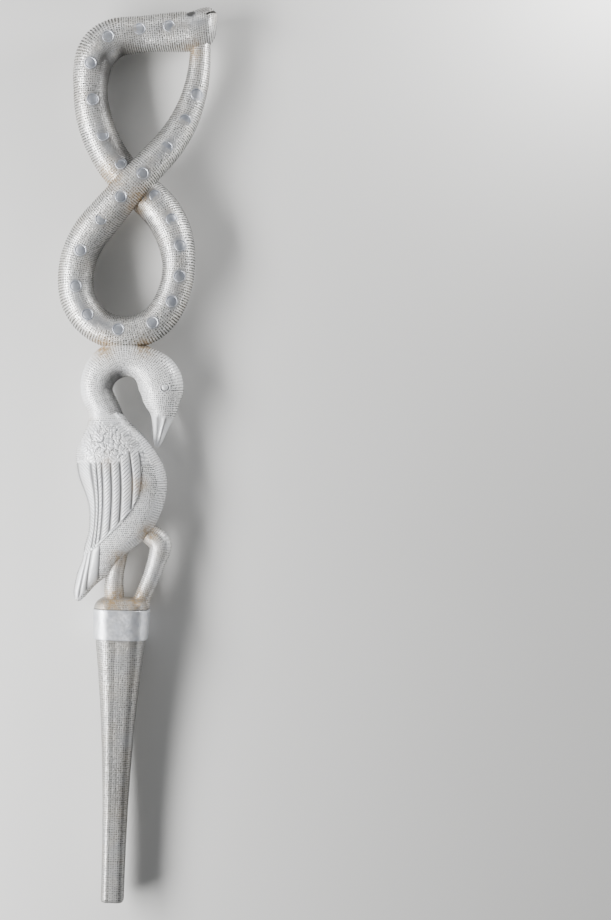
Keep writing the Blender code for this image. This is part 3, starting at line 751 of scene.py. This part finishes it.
def head_relief(at, out, front, wear, rib, shade, rise):
    """The snake's skin at places of its head: the pit, the snout's folds and the mouth's rim."""
    pit = bell((at - EYE_PIT[0]) / EYE_PIT[2]) * bell((out - EYE_PIT[1]) / EYE_PIT[3])
    pit = pit * (np.abs(front) > 0.12)
    fold = clamp((EYE_PIT[0] - 0.0022 - at) / 0.0012) * clamp((at - 0.0032) / 0.001)
    fold = fold * clamp((out - 0.0066) / 0.0012)
    ridge = np.sin(2 * math.pi * (1.2 * at - out) / 1.56 / FOLD_PITCH)
    rise = rise - EYE_PIT_DEPTH * pit + FOLD_RISE * fold * ridge
    wear = wear * (1 - fold) * (1 - clamp(2.2 * pit))
    rib = rib * (1 - np.maximum(fold, clamp(2 * pit)))
    corners = np.array(MOUTH_CUT) / 1000.0
    edges = zip(corners, np.roll(corners, -1, axis=0))
    mouth = np.min([away_from(at, out, one, two) for one, two in edges], axis=0)
    # Painted shade in the eye's pit and in the grooves of the folds, and a painted shadow round the
    # mouth
    shade = shade + 1.3 * clamp(pit * 2.4 - 0.35) + 0.90 * fold * clamp(-ridge)
    shade = shade + 0.9 * bell(mouth / MOUTH_SHADOW)
    lip = clamp((0.0020 - at) / 0.0015) * clamp((out - 0.003) / 0.003)
    chin_front = clamp((0.009 - at) / 0.004) * clamp((0.003 - out) / 0.004)
    return wear * (1 - 0.85 * lip) * (1 - 0.3 * chin_front), rib, shade, rise


def make_snake(material):
    """The snake as one run of rings, in pieces that meet at shared rings, with its mouth cut."""
    fine = np.linspace(0.0, 1.0, 6001)
    gone = travelled(snake_rows(fine)[:, :3])
    spacing = PITCH / SAMPLES
    back, top, bottom = head_rows(spacing)
    head = len(back)
    travel = np.concatenate([back, np.arange(back[-1] + spacing, gone[-1], spacing)])
    shares = np.interp(travel, gone, fine)
    rows = snake_rows(shares)
    middles = rows[:, :3].copy()
    before = travel < 0
    middles[before] = snake_rows([0.0])[0, :3] + travel[before, None] * HEAD_BACK
    sides, ups = frames(middles)
    sides[:head], ups[:head] = sides[head], ups[head]
    crown = np.concatenate([top, rows[head:, 3]])
    chin = np.concatenate([bottom, -rows[head:, 3]])
    middle = (crown + chin) / 2
    middles += sides * middle[:, None]
    near = clamp((travel - back[0] + 0.0003) / HEAD_ROUND)
    deep = rows[:, 4] * dome(1 - near, HEAD_ROUNDNESS)
    outlines = [oval(a, b, SNAKE_ROUNDNESS) for a, b in zip((crown - chin) / 2, deep)]
    disc_share, disc_out = np.array(DISCS).T
    disc_travel = np.interp(disc_share, fine, gone)
    bend = spreading(rows, travel)
    bend[:head] = 0.0

    def relief(i, place, beside):
        """Dots, worn along the discs, rings on the flanks, the discs' rims and painted shade on the
        walls.
        """
        at, out, front = travel[i], place[:, 0] + middle[i], place[:, 1] / deep[i]
        wave, slow = uneven(at, out, place[:, 1], 3)
        crest = bell((out - np.interp(at, disc_travel, disc_out * 0.0115)) / 0.0040)
        crest = crest * clamp((disc_travel[-1] + 0.006 - at) / 0.004)
        crowded = clamp((0.70 - (1 + bend[i] * out)) / 0.10) * (i // SAMPLES % 2)
        wear = (0.95 - crest * (0.42 + 0.40 * slow) - 0.22 * clamp(wave)) * (1 - crowded)
        rib = np.clip((beside - 0.50) / 0.35, 0.12, 1.0) * (0.85 + 0.25 * wave) * (1 - crowded)
        rise = 0.00007 * slow + 0.00004 * wave
        closest = np.abs(disc_travel - at).argmin()
        away = np.hypot(at - disc_travel[closest], out - disc_out[closest] * rows[i, 3])
        shown = (front > 0.3) & (abs(disc_share[closest] - UNDER_AT) > DISC_HIDDEN)
        shown |= (front < -0.3) & (abs(disc_share[closest] - OVER_AT) > DISC_HIDDEN)
        covered = (away < DISC_RADIUS + 0.0004) & shown
        rim = bell((away - DISC_RADIUS - 0.0006) / 0.0003) * shown
        wear = np.where(covered, 0.0, wear * (1 - 0.5 * rim))
        rib = np.where(covered, 0.0, rib)
        # Painted shade on the inner walls of the loops, where the light hardly comes
        painted_wall_shade = 0.0
        for span, way, start, grow, most in LOOP_SHADE_SPANS:
            wall = clamp((way * out / rows[i, 3] - start) / grow)
            painted_wall_shade = painted_wall_shade + most * np.interp(shares[i], span, (0, 1, 1, 0)) * wall
        shade = 0.25 * rim + WALL_SHADE_PAINT * painted_wall_shade * (1 + 0.25 * wave)
        if at < HEAD_REACH:
            wear, rib, shade, rise = head_relief(at, out, front, wear, rib, shade, rise)
        return np.clip(wear, 0.0, 1.25), rib, clamp(shade), rise

    rings = tube_rings(middles, sides, ups, outlines, PITCH, relief)
    count = len(rings)
    cuts = [0, round(head / SAMPLES) * SAMPLES + 1]
    cuts += [SAMPLES * round(count * share / SAMPLES) + 1 for share in SNAKE_CUTS] + [count - 1]
    names = ("snake_head", "snake_upper_run", "snake_lower_loop", "snake_tail_run")
    for name, start, stop in zip(names, cuts, cuts[1:]):
        skin = Skin()
        closed = name == "snake_head"
        skin_over(skin, rings[start : stop + 1], (start == 0, closed or stop == count - 1))
        finish_piece(name, skin, material, cut=mouth_cutter() if closed else None)


def mouth_cutter():
    """A slit into each face of the head, for the mouth, with a thin web between the two that is
    painted dark as shade.
    """
    root = snake_rows([0.0])[0, :3]
    up = np.array([-HEAD_BACK[1], HEAD_BACK[0], 0.0])
    corners = np.array([root + HEAD_BACK * s / 1000.0 + up * u / 1000.0 for s, u in MOUTH_CUT])
    heights = (-0.03, -MOUTH_WEB, MOUTH_WEB, 0.03)
    points = np.concatenate([corners + [0, 0, height] for height in heights])
    count = len(MOUTH_CUT)
    faces = []
    for low in (0, 2 * count):
        high = low + count
        faces += [tuple(reversed(range(low, high))), tuple(range(high, high + count))]
        faces += band(low, high, count).tolist()
    return add_mesh("mouth_cutter", to_row(points), faces)


def lathe(skin, profile, scale, place, face, sectors=36):
    """Add round relief to a skin from its profile; place gives the points of a ring."""
    turns = np.linspace(0.0, 2 * math.pi, sectors, endpoint=False)
    last = None
    for reach, rise, shade in profile:
        points = place(reach * scale * np.cos(turns), reach * scale * np.sin(turns), rise / 1000.0)
        if reach == 0.0:
            hub = skin.add_points(points[:1], shade=shade)
            continue
        first = skin.add_points(points, shade=shade)
        if last is None:
            faces = fan(hub, first, sectors)[:, [0, 2, 1]]
        else:
            faces = band(last, first, sectors)
        skin.add_faces(faces, flip=face < 0)
        last = first


def add_disc(skin, row, out, way, face):
    """A thin disc that follows the snake's surface, with a raised rim and a groove inside it."""
    depth, half_width, half_depth = row[2:]
    sideways = np.array([-way[1], way[0]])
    tilt = draws.uniform(-DISC_TILT, DISC_TILT, 2)

    def place(ahead, aside, rise):
        beside = out + aside / half_width
        surface = half_depth * dome(beside, SNAKE_ROUNDNESS)
        level = depth + face * (surface + rise + tilt[0] * ahead + tilt[1] * aside)
        spot = row[:2] + ahead[:, None] * way + (beside * half_width)[:, None] * sideways
        return np.column_stack([spot, level])

    lathe(skin, DISC_PROFILE, DISC_RADIUS, place, face)


def make_discs(material):
    """The discs along both faces of the snake."""
    shares = np.array(DISCS)[:, 0]
    ways = unit(snake_rows(shares + 0.001)[:, :2] - snake_rows(shares - 0.001)[:, :2])
    skin = Skin()
    for face, covered in ((1, UNDER_AT), (-1, OVER_AT)):
        for (share, out), row, way in zip(DISCS, snake_rows(shares), ways):
            if abs(share - covered) > DISC_HIDDEN:
                add_disc(skin, row, out, way, face)
    finish_piece("snake_discs", skin, material)


def limb(table, roundness, fine):
    """A limb's rows, how far along it they are, its middle line, frames and outlines, its bend."""
    path = travelled(bird_rows(table, fine)[:, :2])[-1]
    rows = bird_rows(table, SAMPLES * round(path / BIRD_PITCH) + 1)
    gone = np.linspace(0.0, path, len(rows))
    outlines = [oval(row[3], row[4], roundness) for row in rows]
    middles = rows[:, :3]
    return rows, gone, (middles, *frames(middles), outlines), spreading(rows, gone)


def flank_ribs(beside, start=0.5):
    """How deep the rings between the dots are: faint in front, and full on the flanks."""
    return np.clip((beside - start) / 0.3, 0.15, 1.0)


def make_neck(material):
    """The bird's neck, head and bill, and its eyes."""
    rows, gone, tube, bend = limb(NECK, NECK_ROUNDNESS, 400)
    path = gone[-1]
    bill = (rows[:, 0] < CAP_TOP + BILL_TOP * BIRD_LENGTH) & (gone > path / 2)
    start = gone[bill.argmax()]

    def relief(i, place, beside):
        wave, slow = uneven(gone[i], place[:, 0], place[:, 1], 5)
        past = clamp((gone[i] - start + 0.001) / 0.003)
        spread = np.clip((1.75 - (1 + bend[i] * place[:, 0])) / 0.5, 0.45, 1.0) * (1 - past)
        wear = np.clip(0.72 + 0.35 * slow - 0.2 * clamp(wave), 0.2, 1.1) * spread
        rib = flank_ribs(beside, 0.45) * 0.5 * spread
        out = place[:, 0] / rows[i, 3]
        end = past * clamp((path - gone[i]) / 0.004)
        groove = bell((np.abs(out) - 0.36) / 0.13) * end
        ridge = bell(out / 0.20) * end
        rise = 0.00006 * slow + 0.00004 * wave - 0.00060 * groove + 0.00025 * ridge
        # Painted shade on the inner side of the rising neck
        inner = clamp((out - 0.15) / 0.6) * clamp((0.46 - gone[i] / path) / 0.1)
        return wear, rib, 0.85 * groove + WALL_SHADE_PAINT * inner, rise * clamp(rows[i, 3] / 0.004)

    skin = Skin()
    punched_tube(skin, *tube, relief, BIRD_PITCH)
    finish_piece("bird_neck_and_head", skin, material)
    skin = Skin()
    for face in (1, -1):
        add_eye(skin, bird_rows(NECK, 400), face)
    finish_piece("bird_eyes", skin, material)


def add_eye(skin, rows, face):
    """A ring with a small round boss in it on one cheek."""
    along, across = CAP_TOP + EYE[0] * BIRD_LENGTH, EYE[1] * BIRD_LENGTH
    row = rows[np.hypot(rows[:, 0] - along, rows[:, 1] - across).argmin()]

    def place(ahead, aside, rise):
        x, y = along + ahead, across + aside
        beside = np.clip(np.hypot(x - row[0], y - row[1]) / row[3], 0, 0.95)
        return np.column_stack([x, y, face * (row[4] * dome(beside, NECK_ROUNDNESS) + rise)])

    lathe(skin, EYE_PROFILE, 0.001, place, face, 32)


def make_body(material):
    """The bird's body and tail, under the feathers; its top runs on inside the neck."""
    low, high = BODY[-1][0], BODY[0][0]
    levels = np.linspace(high, low, SAMPLES * round((high - low) * BIRD_LENGTH / BIRD_PITCH) + 1)
    middle, half, deep = (BIRD_LENGTH * shares for shares in body_section(levels))
    line = np.linspace(low, high, 500)
    line_middle, line_half, _ = body_section(line)
    breast = np.column_stack([line, line_middle + line_half]) * BIRD_LENGTH
    breast_gone = travelled(breast)

    def relief(i, place, beside):
        """Dots, ribs square to the breast's edge, and plain ground under the shoulder."""
        level, up = levels[i], levels[i] * BIRD_LENGTH
        wave, slow = uneven(up, place[:, 0], place[:, 1], 11)
        across = middle[i] + place[:, 0]
        away = np.hypot(breast[:, 0] - up, breast[:, 1] - across[:, None])
        phase = breast_gone[away.argmin(axis=1)] / BREAST_RIB_PITCH
        window = clamp((BREAST_RIB_REACH - away.min(axis=1)) / 0.0015) * (place[:, 0] > 0)
        window = window * clamp((level - 0.16) / 0.05) * clamp((0.70 - level) / 0.05)
        cut = np.clip(np.sin(2 * math.pi * phase), -0.2, 1.0) * window
        wear = np.clip(0.78 + 0.3 * slow - 0.2 * clamp(wave), 0.25, 1.1) * (1 - 0.9 * window)
        wear = wear * np.clip((0.73 - level) / 0.03, 0.15, 1.0)
        rib = flank_ribs(beside) * (1 - window) * 0.5
        return wear, rib, 0.85 * clamp(cut) ** 2, 0.00006 * slow - 0.00028 * cut

    outlines = [oval(a, b, BODY_ROUNDNESS) for a, b in zip(half, deep)]
    skin = Skin()
    spine = straight(CAP_TOP + levels * BIRD_LENGTH, middle)
    punched_tube(skin, *spine, outlines, relief, BIRD_PITCH)
    finish_piece("bird_body", skin, material)


def curl_lines():
    """The engraved curls as segments (start, end, half width), in mm from CURL_MIDDLE."""
    segments = []
    for kind, width, *values in CURLS:
        if kind == "arc":
            x, y, radius, start, stop = values
            turn = np.radians(np.linspace(start, stop, 14))
            points = np.column_stack([x + radius * np.cos(turn), y + radius * np.sin(turn)])
        else:
            points = np.array(values)
        segments += [(one, two, width) for one, two in zip(points, points[1:])]
    return segments


def make_shoulder(material):
    """The smooth shoulder of each wing with its engraved curls, as a sheet on the body."""
    top, foot = SHOULDER_LEVELS
    levels = np.linspace(top, foot, 1 + round((top - foot) * BIRD_LENGTH / SHOULDER_GRID))
    outs = np.linspace(*SHOULDER_OUTS, 150)
    level, out = np.meshgrid(levels, outs)
    middle, half, _ = body_section(level)
    across = middle + half * out.ravel()
    surface = body_surface(level, across) * BIRD_LENGTH
    along, across = level.ravel() * BIRD_LENGTH, across * BIRD_LENGTH
    right, up = 1000 * (across - CURL_MIDDLE[1]), 1000 * (along - CURL_MIDDLE[0])
    cut = 0.0
    for one, two, width in curl_lines():
        cut = np.maximum(cut, bell(away_from(right, up, one, two) / (CURL_WIDTH * width)))
    ends = np.minimum((level - foot) / 0.012, (top - level) / 0.03)
    sides = np.minimum(out - outs[0], outs[-1] - out) / 0.05
    edge = np.minimum(ends, sides).ravel()
    wave = ripple(along, across, 21)
    curl = ripple(6 * along, 6 * across, 22) + ripple(6 * along, -6 * across, 24)
    crease = bell(curl / 0.32) * clamp(edge - 0.3)
    hill = ripple(4 * along, -4 * across, 23) * clamp(edge)
    rise = 0.0006 * clamp(edge + 0.3 * wave) - 0.0002 + 0.00009 * wave + 0.00014 * hill
    rise = rise - 0.00055 * cut - 0.00032 * crease + draws.normal(0.0, 0.000018, len(along))
    shade = np.maximum(0.95 * cut, 0.55 * crease) * (edge > 0.4)
    skin = Skin()
    for face in (1, -1):
        points = np.column_stack([CAP_TOP + along, across, face * (surface + rise)])
        first = skin.add_points(points, shade=shade)
        skin.add_faces(sheet_faces(first, *level.shape), flip=face > 0)
    finish_piece("wing_shoulders", skin, material)


def make_feathers(name, edges, rise, material, strokes, steps, spacing):
    """Long feathers side by side on both faces of the body, cut with slanting strokes or plain."""
    starts, ends, bows = (np.array([edge[k] for edge in edges]) for k in range(3))
    longest = np.linalg.norm(ends - starts, axis=1).max() * BIRD_LENGTH
    down = np.linspace(0.0, 1.0, round(longest / spacing) + 1)
    last = len(edges) - 1
    columns = np.linspace(0.0, last, last * steps + 1)
    feather = np.minimum(np.floor(columns), last - 1).astype(int)
    part = columns - feather
    paths = starts[:, None] + (ends - starts)[:, None] * down[:, None]
    paths[..., 1] += bows[:, None] * np.sin(math.pi * down)
    middle, half, _ = body_section(paths[-1, :, 0])
    paths[-1, :, 1] = middle - BACK_REACH * half
    share = part[:, None, None]
    place = paths[feather] * (1 - share) + paths[feather + 1] * share
    surface = body_surface(place[..., 0], place[..., 1]).reshape(place.shape[:2]) * BIRD_LENGTH
    along, across = place[..., 0] * BIRD_LENGTH, place[..., 1] * BIRD_LENGTH
    ridge = clamp(np.sin(math.pi * clamp((part - 0.07) / 0.86)))[:, None] ** 0.55
    ridge = ridge + (1 - ridge) * clamp((down - 0.955) / 0.03) * (feather > 0)[:, None]
    profile = (0.35 + 0.65 * ridge) * rise * np.minimum(1.0, FEATHER_EASE + down / FEATHER_EASE)
    profile = profile * np.clip((1 - down) / 0.03, 0.6, 1.0)
    # Painted shade in the grooves between the feathers; the strokes get theirs below
    shade = 0.95 * (1 - ridge) ** 1.3
    if strokes:
        slope = np.where(feather >= last - 2, -1.0, 1.0)[:, None]
        slant = slope * (across - across[feather * steps + steps // 2]) - along
        phase = slant / strokes + 0.31 * feather[:, None]
        phase = phase + 0.10 * np.sin(along / 0.0021 + feather[:, None])
        stroke = bell((phase % 1.0 - 0.5) / 0.13) * clamp(ridge * 1.6 - 0.35)
        profile = profile - 0.00045 * stroke
        shade = np.maximum(shade, 0.80 * stroke)
    profile = profile + draws.normal(0.0, 0.000015, profile.shape)
    sunk = np.maximum(surface - rise - FEATHER_ROOT, surface * FEATHER_FLOOR)
    number = np.arange(shade.size).reshape(shade.shape)
    rim = np.concatenate(
        [number[0, :-1], number[:-1, -1], number[-1, :0:-1], number[:0:-1, 0]]
    )
    skin = Skin()
    for face in (1, -1):
        top, low = (
            np.dstack([CAP_TOP + along, across, face * depth]).reshape(-1, 3)
            for depth in (surface + profile, sunk)
        )
        first = skin.add_points(top, shade=shade.ravel())
        skin.add_faces(sheet_faces(first, *shade.shape), flip=face < 0)
        # The walls round each feather are painted dark, as the shade under its edge
        wall_top = skin.add_points(top[rim], shade=0.9)
        wall_low = skin.add_points(low[rim], shade=1.0)
        skin.add_faces(band(wall_top, wall_low, len(rim)), flip=face < 0)
    finish_piece(name, skin, material)


def make_legs(material):
    """Both legs."""
    skin = Skin()
    for table in (STRAIGHT_LEG, BENT_LEG):
        rows, _, tube, bend = limb(table, LEG_ROUNDNESS, 200)

        def relief(i, place, beside):
            slow = ripple(rows[i, 0] / 2, place[:, 0] + 0.4 * place[:, 1], 15)
            spread = np.clip((1.7 - (1 + bend[i] * place[:, 0])) / 0.4, 0.5, 1.0)
            rib = flank_ribs(beside) * 0.45 * spread
            return (0.55 + 0.3 * slow) * spread, rib, 0.0, 0.00005 * slow

        punched_tube(skin, *tube, relief, BIRD_PITCH)
    finish_piece("bird_legs", skin, material)


def grip_width(along):
    """The grip's width: slim at the tip, flared towards the collar, and straight under it."""
    if along <= COLLAR_FOOT:
        return TIP_WIDTH + (GRIP_TOP_WIDTH - TIP_WIDTH) * (along / GRIP_LENGTH) ** GRIP_FLARE
    up = (along - COLLAR_FOOT) / COLLAR_HEIGHT
    return GRIP_TOP_WIDTH + (SEAT_TOP_WIDTH - GRIP_TOP_WIDTH) * up


def make_grip(material):
    """The tapered grip with the seat under the collar, and the domed cap above it."""
    levels = np.linspace(0.0, CAP_FOOT, SAMPLES * round(CAP_FOOT / PITCH) + 1)
    chamfers = TIP_CHAMFER * clamp(1 - levels / TIP_CHAMFER)
    widths = [grip_width(level) - chamfer for level, chamfer in zip(levels, chamfers)]
    widths[-1] = SEAT_TOP_WIDTH

    def relief(i, place, beside):
        level, out = levels[i], place[:, 0]
        if level > COLLAR_FOOT - 0.0006 or level < 0.0004:
            return 0.0, 0.0, 0.0, 0.0
        wave, slow = uneven(level, out, place[:, 1], 17)
        ridge = bell((out + 0.0018) / 0.0016) * (np.abs(place[:, 1]) > 0.3 * widths[i])
        wear = np.clip(0.80 + 0.30 * slow - 0.35 * clamp(wave), 0.2, 1.1)
        # Darker down towards the tip, on the right half and along a band down the middle
        shade = GRIP_DARKENING * np.clip((COLLAR_FOOT - level) / 0.07, 0.2, 1) * (1 + 0.6 * slow)
        shade = shade + 0.08 * clamp(out / 0.004)
        shade = shade + 0.22 * bell((out - 0.0004) / 0.0008) * (1 + 0.8 * wave)
        rise = 0.00006 * slow + 0.00016 * ridge
        return wear, 0.05 + 0.25 * (beside > 0.9), np.clip(shade, 0, 0.6), rise

    turns = np.linspace(0.0, math.pi / 2, 25)
    cap_widths = CAP_WIDTH - CAP_HEIGHT * CAP_INSET * (1 - np.cos(turns))

    def cap_relief(i, place, beside):
        slow = ripple(place[:, 0], place[:, 1] + turns[i] * 0.01, 19)
        inside = 0 < i < len(turns) - 1
        return (0.45 + 0.2 * slow) * inside, 0.1, 0.0, 0.00008 * slow * inside

    skin = Skin()
    grip, cap = ([rounded_square(width) for width in run] for run in (widths, cap_widths))
    punched_tube(skin, *straight(levels), grip, relief, steady=True)
    cap_line = straight(CAP_FOOT + CAP_HEIGHT * np.sin(turns))
    punched_tube(skin, *cap_line, cap, cap_relief, BIRD_PITCH)
    finish_piece("grip_and_cap", skin, material)


def make_collar(material):
    """The polished band: slightly uneven, with worn round edges."""
    outer, edge, sectors = SEAM + COLLAR_WALL, 0.00035, 160
    corner = outer - edge * 0.35
    profile = [(0.0, SEAM), (0.0, outer - edge), (edge * 0.35, corner)]
    profile += [(up, outer) for up in np.linspace(edge, COLLAR_HEIGHT - edge, 22)]
    profile += [(COLLAR_HEIGHT - edge * 0.35, corner), (COLLAR_HEIGHT, outer - edge)]
    profile += [(COLLAR_HEIGHT, SEAM)]
    skin = Skin()
    firsts = []
    for up, grow in profile:
        along = COLLAR_FOOT + up
        place, normal = spaced(rounded_square(grip_width(along), grow), sectors, 0.0)
        angle = np.arctan2(place[:, 0], place[:, 1])
        wave = np.sin(3 * angle + 210 * up + 1) + np.sin(7 * angle - 330 * up)
        wave = wave + np.sin(12 * angle + 500 * up)
        place = place + normal * (0.00003 * (wave - 3) * (grow > SEAM))[:, None]
        firsts.append(skin.add_points(np.column_stack([np.full(sectors, along), place])))
    for one, two in zip(firsts, firsts[1:] + firsts[:1]):
        skin.add_faces(band(one, two, sectors))
    finish_piece("collar_band", skin, material, "collar")


class Nodes:
    """A material in the making: adds nodes, and feeds their inputs with outputs or plain values."""

    def __init__(self, name):
        self.material = bpy.data.materials.new(name)
        self.material.use_nodes = True
        self.tree = self.material.node_tree

    def feed(self, node, inputs):
        """Feed a node's inputs, by name or number, and give its outputs."""
        for key, value in inputs.items():
            socket = node.inputs[key]
            if isinstance(value, bpy.types.NodeSocket):
                self.tree.links.new(value, socket)
            else:
                socket.default_value = (*value, 1.0) if socket.type == "RGBA" else value
        return node.outputs

    def add(self, kind, inputs, **settings):
        node = self.tree.nodes.new("ShaderNode" + kind)
        for key, value in settings.items():
            setattr(node, key, value)
        return self.feed(node, inputs)

    def attribute(self, name, output="Fac"):
        return self.add("Attribute", {}, attribute_name=name)[output]

    def noise(self, scale, detail=3.0, roughness=0.55):
        place = self.add("TexCoord", {})["Object"]
        settings = {"Scale": scale, "Detail": detail, "Roughness": roughness}
        return self.add("TexNoise", {"Vector": place, **settings})["Fac"]

    def spread(self, source, low, high, to_low=0.0, to_high=1.0):
        """What runs from low to high is made to run from to_low to to_high."""
        limits = {"From Min": low, "From Max": high, "To Min": to_low, "To Max": to_high}
        return self.add("MapRange", {"Value": source, **limits})["Result"]

    def patches(self, scale, detail, *limits):
        return self.spread(self.noise(scale, detail), *limits)

    def math(self, operation, *values, clamp=False):
        inputs = dict(enumerate(values))
        return self.add("Math", inputs, operation=operation, use_clamp=clamp)["Value"]

    def times(self, one, two):
        return self.math("MULTIPLY", one, two)

    def vector(self, operation, *values):
        return self.add("VectorMath", dict(enumerate(values)), operation=operation)["Vector"]

    def mix(self, share, one, two):
        node = self.tree.nodes.new("ShaderNodeMix")
        node.data_type = "RGBA"
        first, second = (k for k, socket in enumerate(node.inputs) if socket.type == "RGBA")
        outputs = self.feed(node, {"Factor": share, first: one, second: two})
        return next(socket for socket in outputs if socket.type == "RGBA")

    def finish(self, color, roughness, metallic=0.0, height=None, strength=1.0, distance=1.0):
        """The finished material, with bumps from a height if there is one."""
        inputs = {"Base Color": color, "Roughness": roughness, "Metallic": metallic}
        if height is not None:
            bump = {"Height": height, "Strength": strength, "Distance": distance}
            inputs["Normal"] = self.add("Bump", bump)["Normal"]
        self.feed(self.tree.nodes["Principled BSDF"], inputs)
        return self.material


def sheet_material(name, pale, blue_grey, brown, metal, glint=0.92, scatter=(0.34, 0.22, 0.0)):
    """Punched sheet: pale and dotted, bluish where it is worn smooth, brown where dirt stays."""
    n = Nodes(name)
    wear, rib, shade, soil = (n.attribute(key) for key in ("wear", "rib", "shade", "soil"))
    cell = n.attribute("cell", "Vector")
    whole = n.vector("FLOOR", n.vector("ADD", cell, (0.5, 0.5, 0.0)))
    chance = n.add("TexWhiteNoise", {"Vector": whole}, noise_dimensions="3D")
    shove = n.vector("SUBTRACT", chance["Color"], (0.5, 0.5, 0.5))
    offset = n.vector("SUBTRACT", cell, whole)
    offset = n.vector("ADD", offset, n.vector("MULTIPLY", shove, scatter))
    x, y, _ = n.add("SeparateXYZ", {"Vector": offset})
    side = n.times(x, n.spread(rib, 0.15, 0.90, 1.0, 0.50))
    away = n.math("SQRT", n.math("ADD", n.times(side, side), n.times(y, y)))
    edge = n.math("SUBTRACT", away, n.spread(chance["Value"], 0.0, 1.0, 0.22, 0.38))
    crisp = n.math("MAXIMUM", n.spread(wear, 0.12, 0.60), n.times(rib, 0.8))
    dark = n.math("MAXIMUM", n.times(n.spread(edge, -0.08, 0.05, 1.0, 0.0), crisp), shade)
    # The tops of the bumps between the dots are lightened: partly bright worn metal, partly painted
    # highlight
    bump_top = n.times(n.spread(edge, 0.06, 0.26), crisp)
    worn = n.times(n.spread(wear, 0.15, 0.80, 1.0, 0.0), 0.55)
    mottle = n.times(n.patches(130.0, 4.0, 0.40, 0.66), 0.40)
    dirt = n.times(soil, n.patches(420.0, 4.0, 0.28, 0.60))
    color = n.mix(n.math("ADD", worn, mottle, clamp=True), pale, blue_grey)
    # The fine speckle is lightened towards the glint tint: partly grain of the sheet, partly
    # painted glints
    for share, tint in (
        (n.times(n.patches(75.0, 4.0, 0.46, 0.66), brown), (0.50, 0.41, 0.28)),
        (n.times(n.patches(1100.0, 2.0, 0.34, 0.66), 0.40), (1.01 * glint, glint, 0.97 * glint)),
        (n.times(bump_top, 0.50), (glint, glint, 0.99 * glint)),
        (n.times(dark, 0.90), (0.016, 0.015, 0.014)),
        (dirt, (0.34, 0.22, 0.09)),
    ):
        color = n.mix(share, color, tint)
    dull = n.math("MAXIMUM", dirt, n.times(dark, 0.6))
    metallic = n.spread(dull, 0.0, 1.0, metal, 0.10)
    height = n.math("SUBTRACT", n.times(n.noise(1300.0, 2.0), 0.45), dark)
    rough = n.patches(300.0, 3.0, 0.3, 0.7, 0.34, 0.50)
    return n.finish(color, rough, metallic, height, 0.7, 0.00022)


def disc_material():
    """The discs: smooth bluish metal, dark in the groove."""
    n = Nodes("disc_metal")
    color = n.mix(n.patches(260.0, 4.0, 0.35, 0.65), (0.50, 0.53, 0.60), (0.64, 0.66, 0.70))
    color = n.mix(n.times(n.attribute("shade"), 0.9), color, (0.05, 0.05, 0.05))
    rough = n.patches(500.0, 3.0, 0.3, 0.7, 0.36, 0.50)
    return n.finish(color, rough, 0.95, n.noise(1100.0), 0.3, 0.0001)


def band_material():
    """Polished band: brighter, bluish, faintly scratched and mottled."""
    n = Nodes("polished_band")
    color = n.mix(n.patches(230.0, 5.0, 0.35, 0.65), (0.84, 0.85, 0.87), (0.68, 0.70, 0.745))
    rough = n.patches(600.0, 4.0, 0.3, 0.7, 0.38, 0.54)
    return n.finish(color, rough, 0.85, n.noise(900.0, 4.0), 0.15, 0.0001)


def floor_material():
    n = Nodes("pale_floor")
    return n.finish(n.mix(n.noise(6.0, 2.0), (0.69, 0.685, 0.67), (0.73, 0.725, 0.71)), 0.9)


def make_stage():
    """Pale floor, dim surroundings and soft lights."""
    reach = FLOOR_REACH
    corners = ((-reach, -reach, 0), (reach, -reach, 0), (reach, reach, 0), (-reach, reach, 0))
    floor = add_mesh("floor", corners, [(0, 1, 2, 3)], floor_material())
    world = bpy.data.worlds.new("studio")
    world.use_nodes = True
    background = world.node_tree.nodes["Background"].inputs
    background["Color"].default_value = (0.88, 0.91, 0.95, 1.0)
    background["Strength"].default_value = 0.15
    bpy.context.scene.world = world
    for name, place, target, size, power in LIGHTS:
        lamp = bpy.data.lights.new(name, "AREA")
        lamp.shape, lamp.energy = "RECTANGLE", power
        lamp.size, lamp.size_y = size
        light = add_object(name, lamp)
        light.location = place
        light.rotation_euler = (Vector(target) - Vector(place)).to_track_quat("-Z", "Y").to_euler()


def make_camera():
    """Straight above the staff's middle plane, rolled as the staff leans in the photograph."""
    right, down = np.array(PICTURE) / 2 - TIP_PIXEL
    along = (right * math.sin(LEAN) - down * math.cos(LEAN)) * METRES_A_PIXEL
    across = (right * math.cos(LEAN) + down * math.sin(LEAN)) * METRES_A_PIXEL
    data = bpy.data.cameras.new("camera")
    data.sensor_width = 36.0
    data.lens = data.sensor_width * CAMERA_AWAY / (PICTURE[1] * METRES_A_PIXEL)
    camera = add_object("camera", data)
    camera.location = to_row([[along, across, CAMERA_AWAY]])[0]
    camera.rotation_euler = (0.0, 0.0, LEAN - math.pi / 2)
    bpy.context.scene.camera = camera


make_camera()
sheet = sheet_material("stippled_sheet", (0.62, 0.61, 0.58), (0.41, 0.43, 0.475), 0.35, 0.80)
bird_sheet = sheet_material(
    "bird_sheet", (0.94, 0.94, 0.935), (0.78, 0.80, 0.84), brown=0.12, metal=0.30, glint=1.0
)
grip_sheet = sheet_material(
    "grip_sheet", (0.44, 0.43, 0.40), (0.32, 0.335, 0.365), brown=0.35, metal=0.75, glint=0.60,
    scatter=(0.14, 0.66, 0.0)
)
leg_sheet = sheet_material(
    "leg_sheet", (0.80, 0.785, 0.75), (0.60, 0.615, 0.64), brown=0.30, metal=0.60, glint=0.74
)
make_snake(sheet)
make_discs(disc_material())
make_neck(bird_sheet)
make_body(bird_sheet)
make_shoulder(bird_sheet)
make_feathers("wing_feathers", WING_FEATHERS, WING_RISE, bird_sheet, *WING_CUT)
make_feathers("tail_feathers", TAIL_FEATHERS, TAIL_RISE, bird_sheet, *TAIL_CUT)
make_legs(leg_sheet)
make_grip(grip_sheet)
make_collar(band_material())
make_stage()
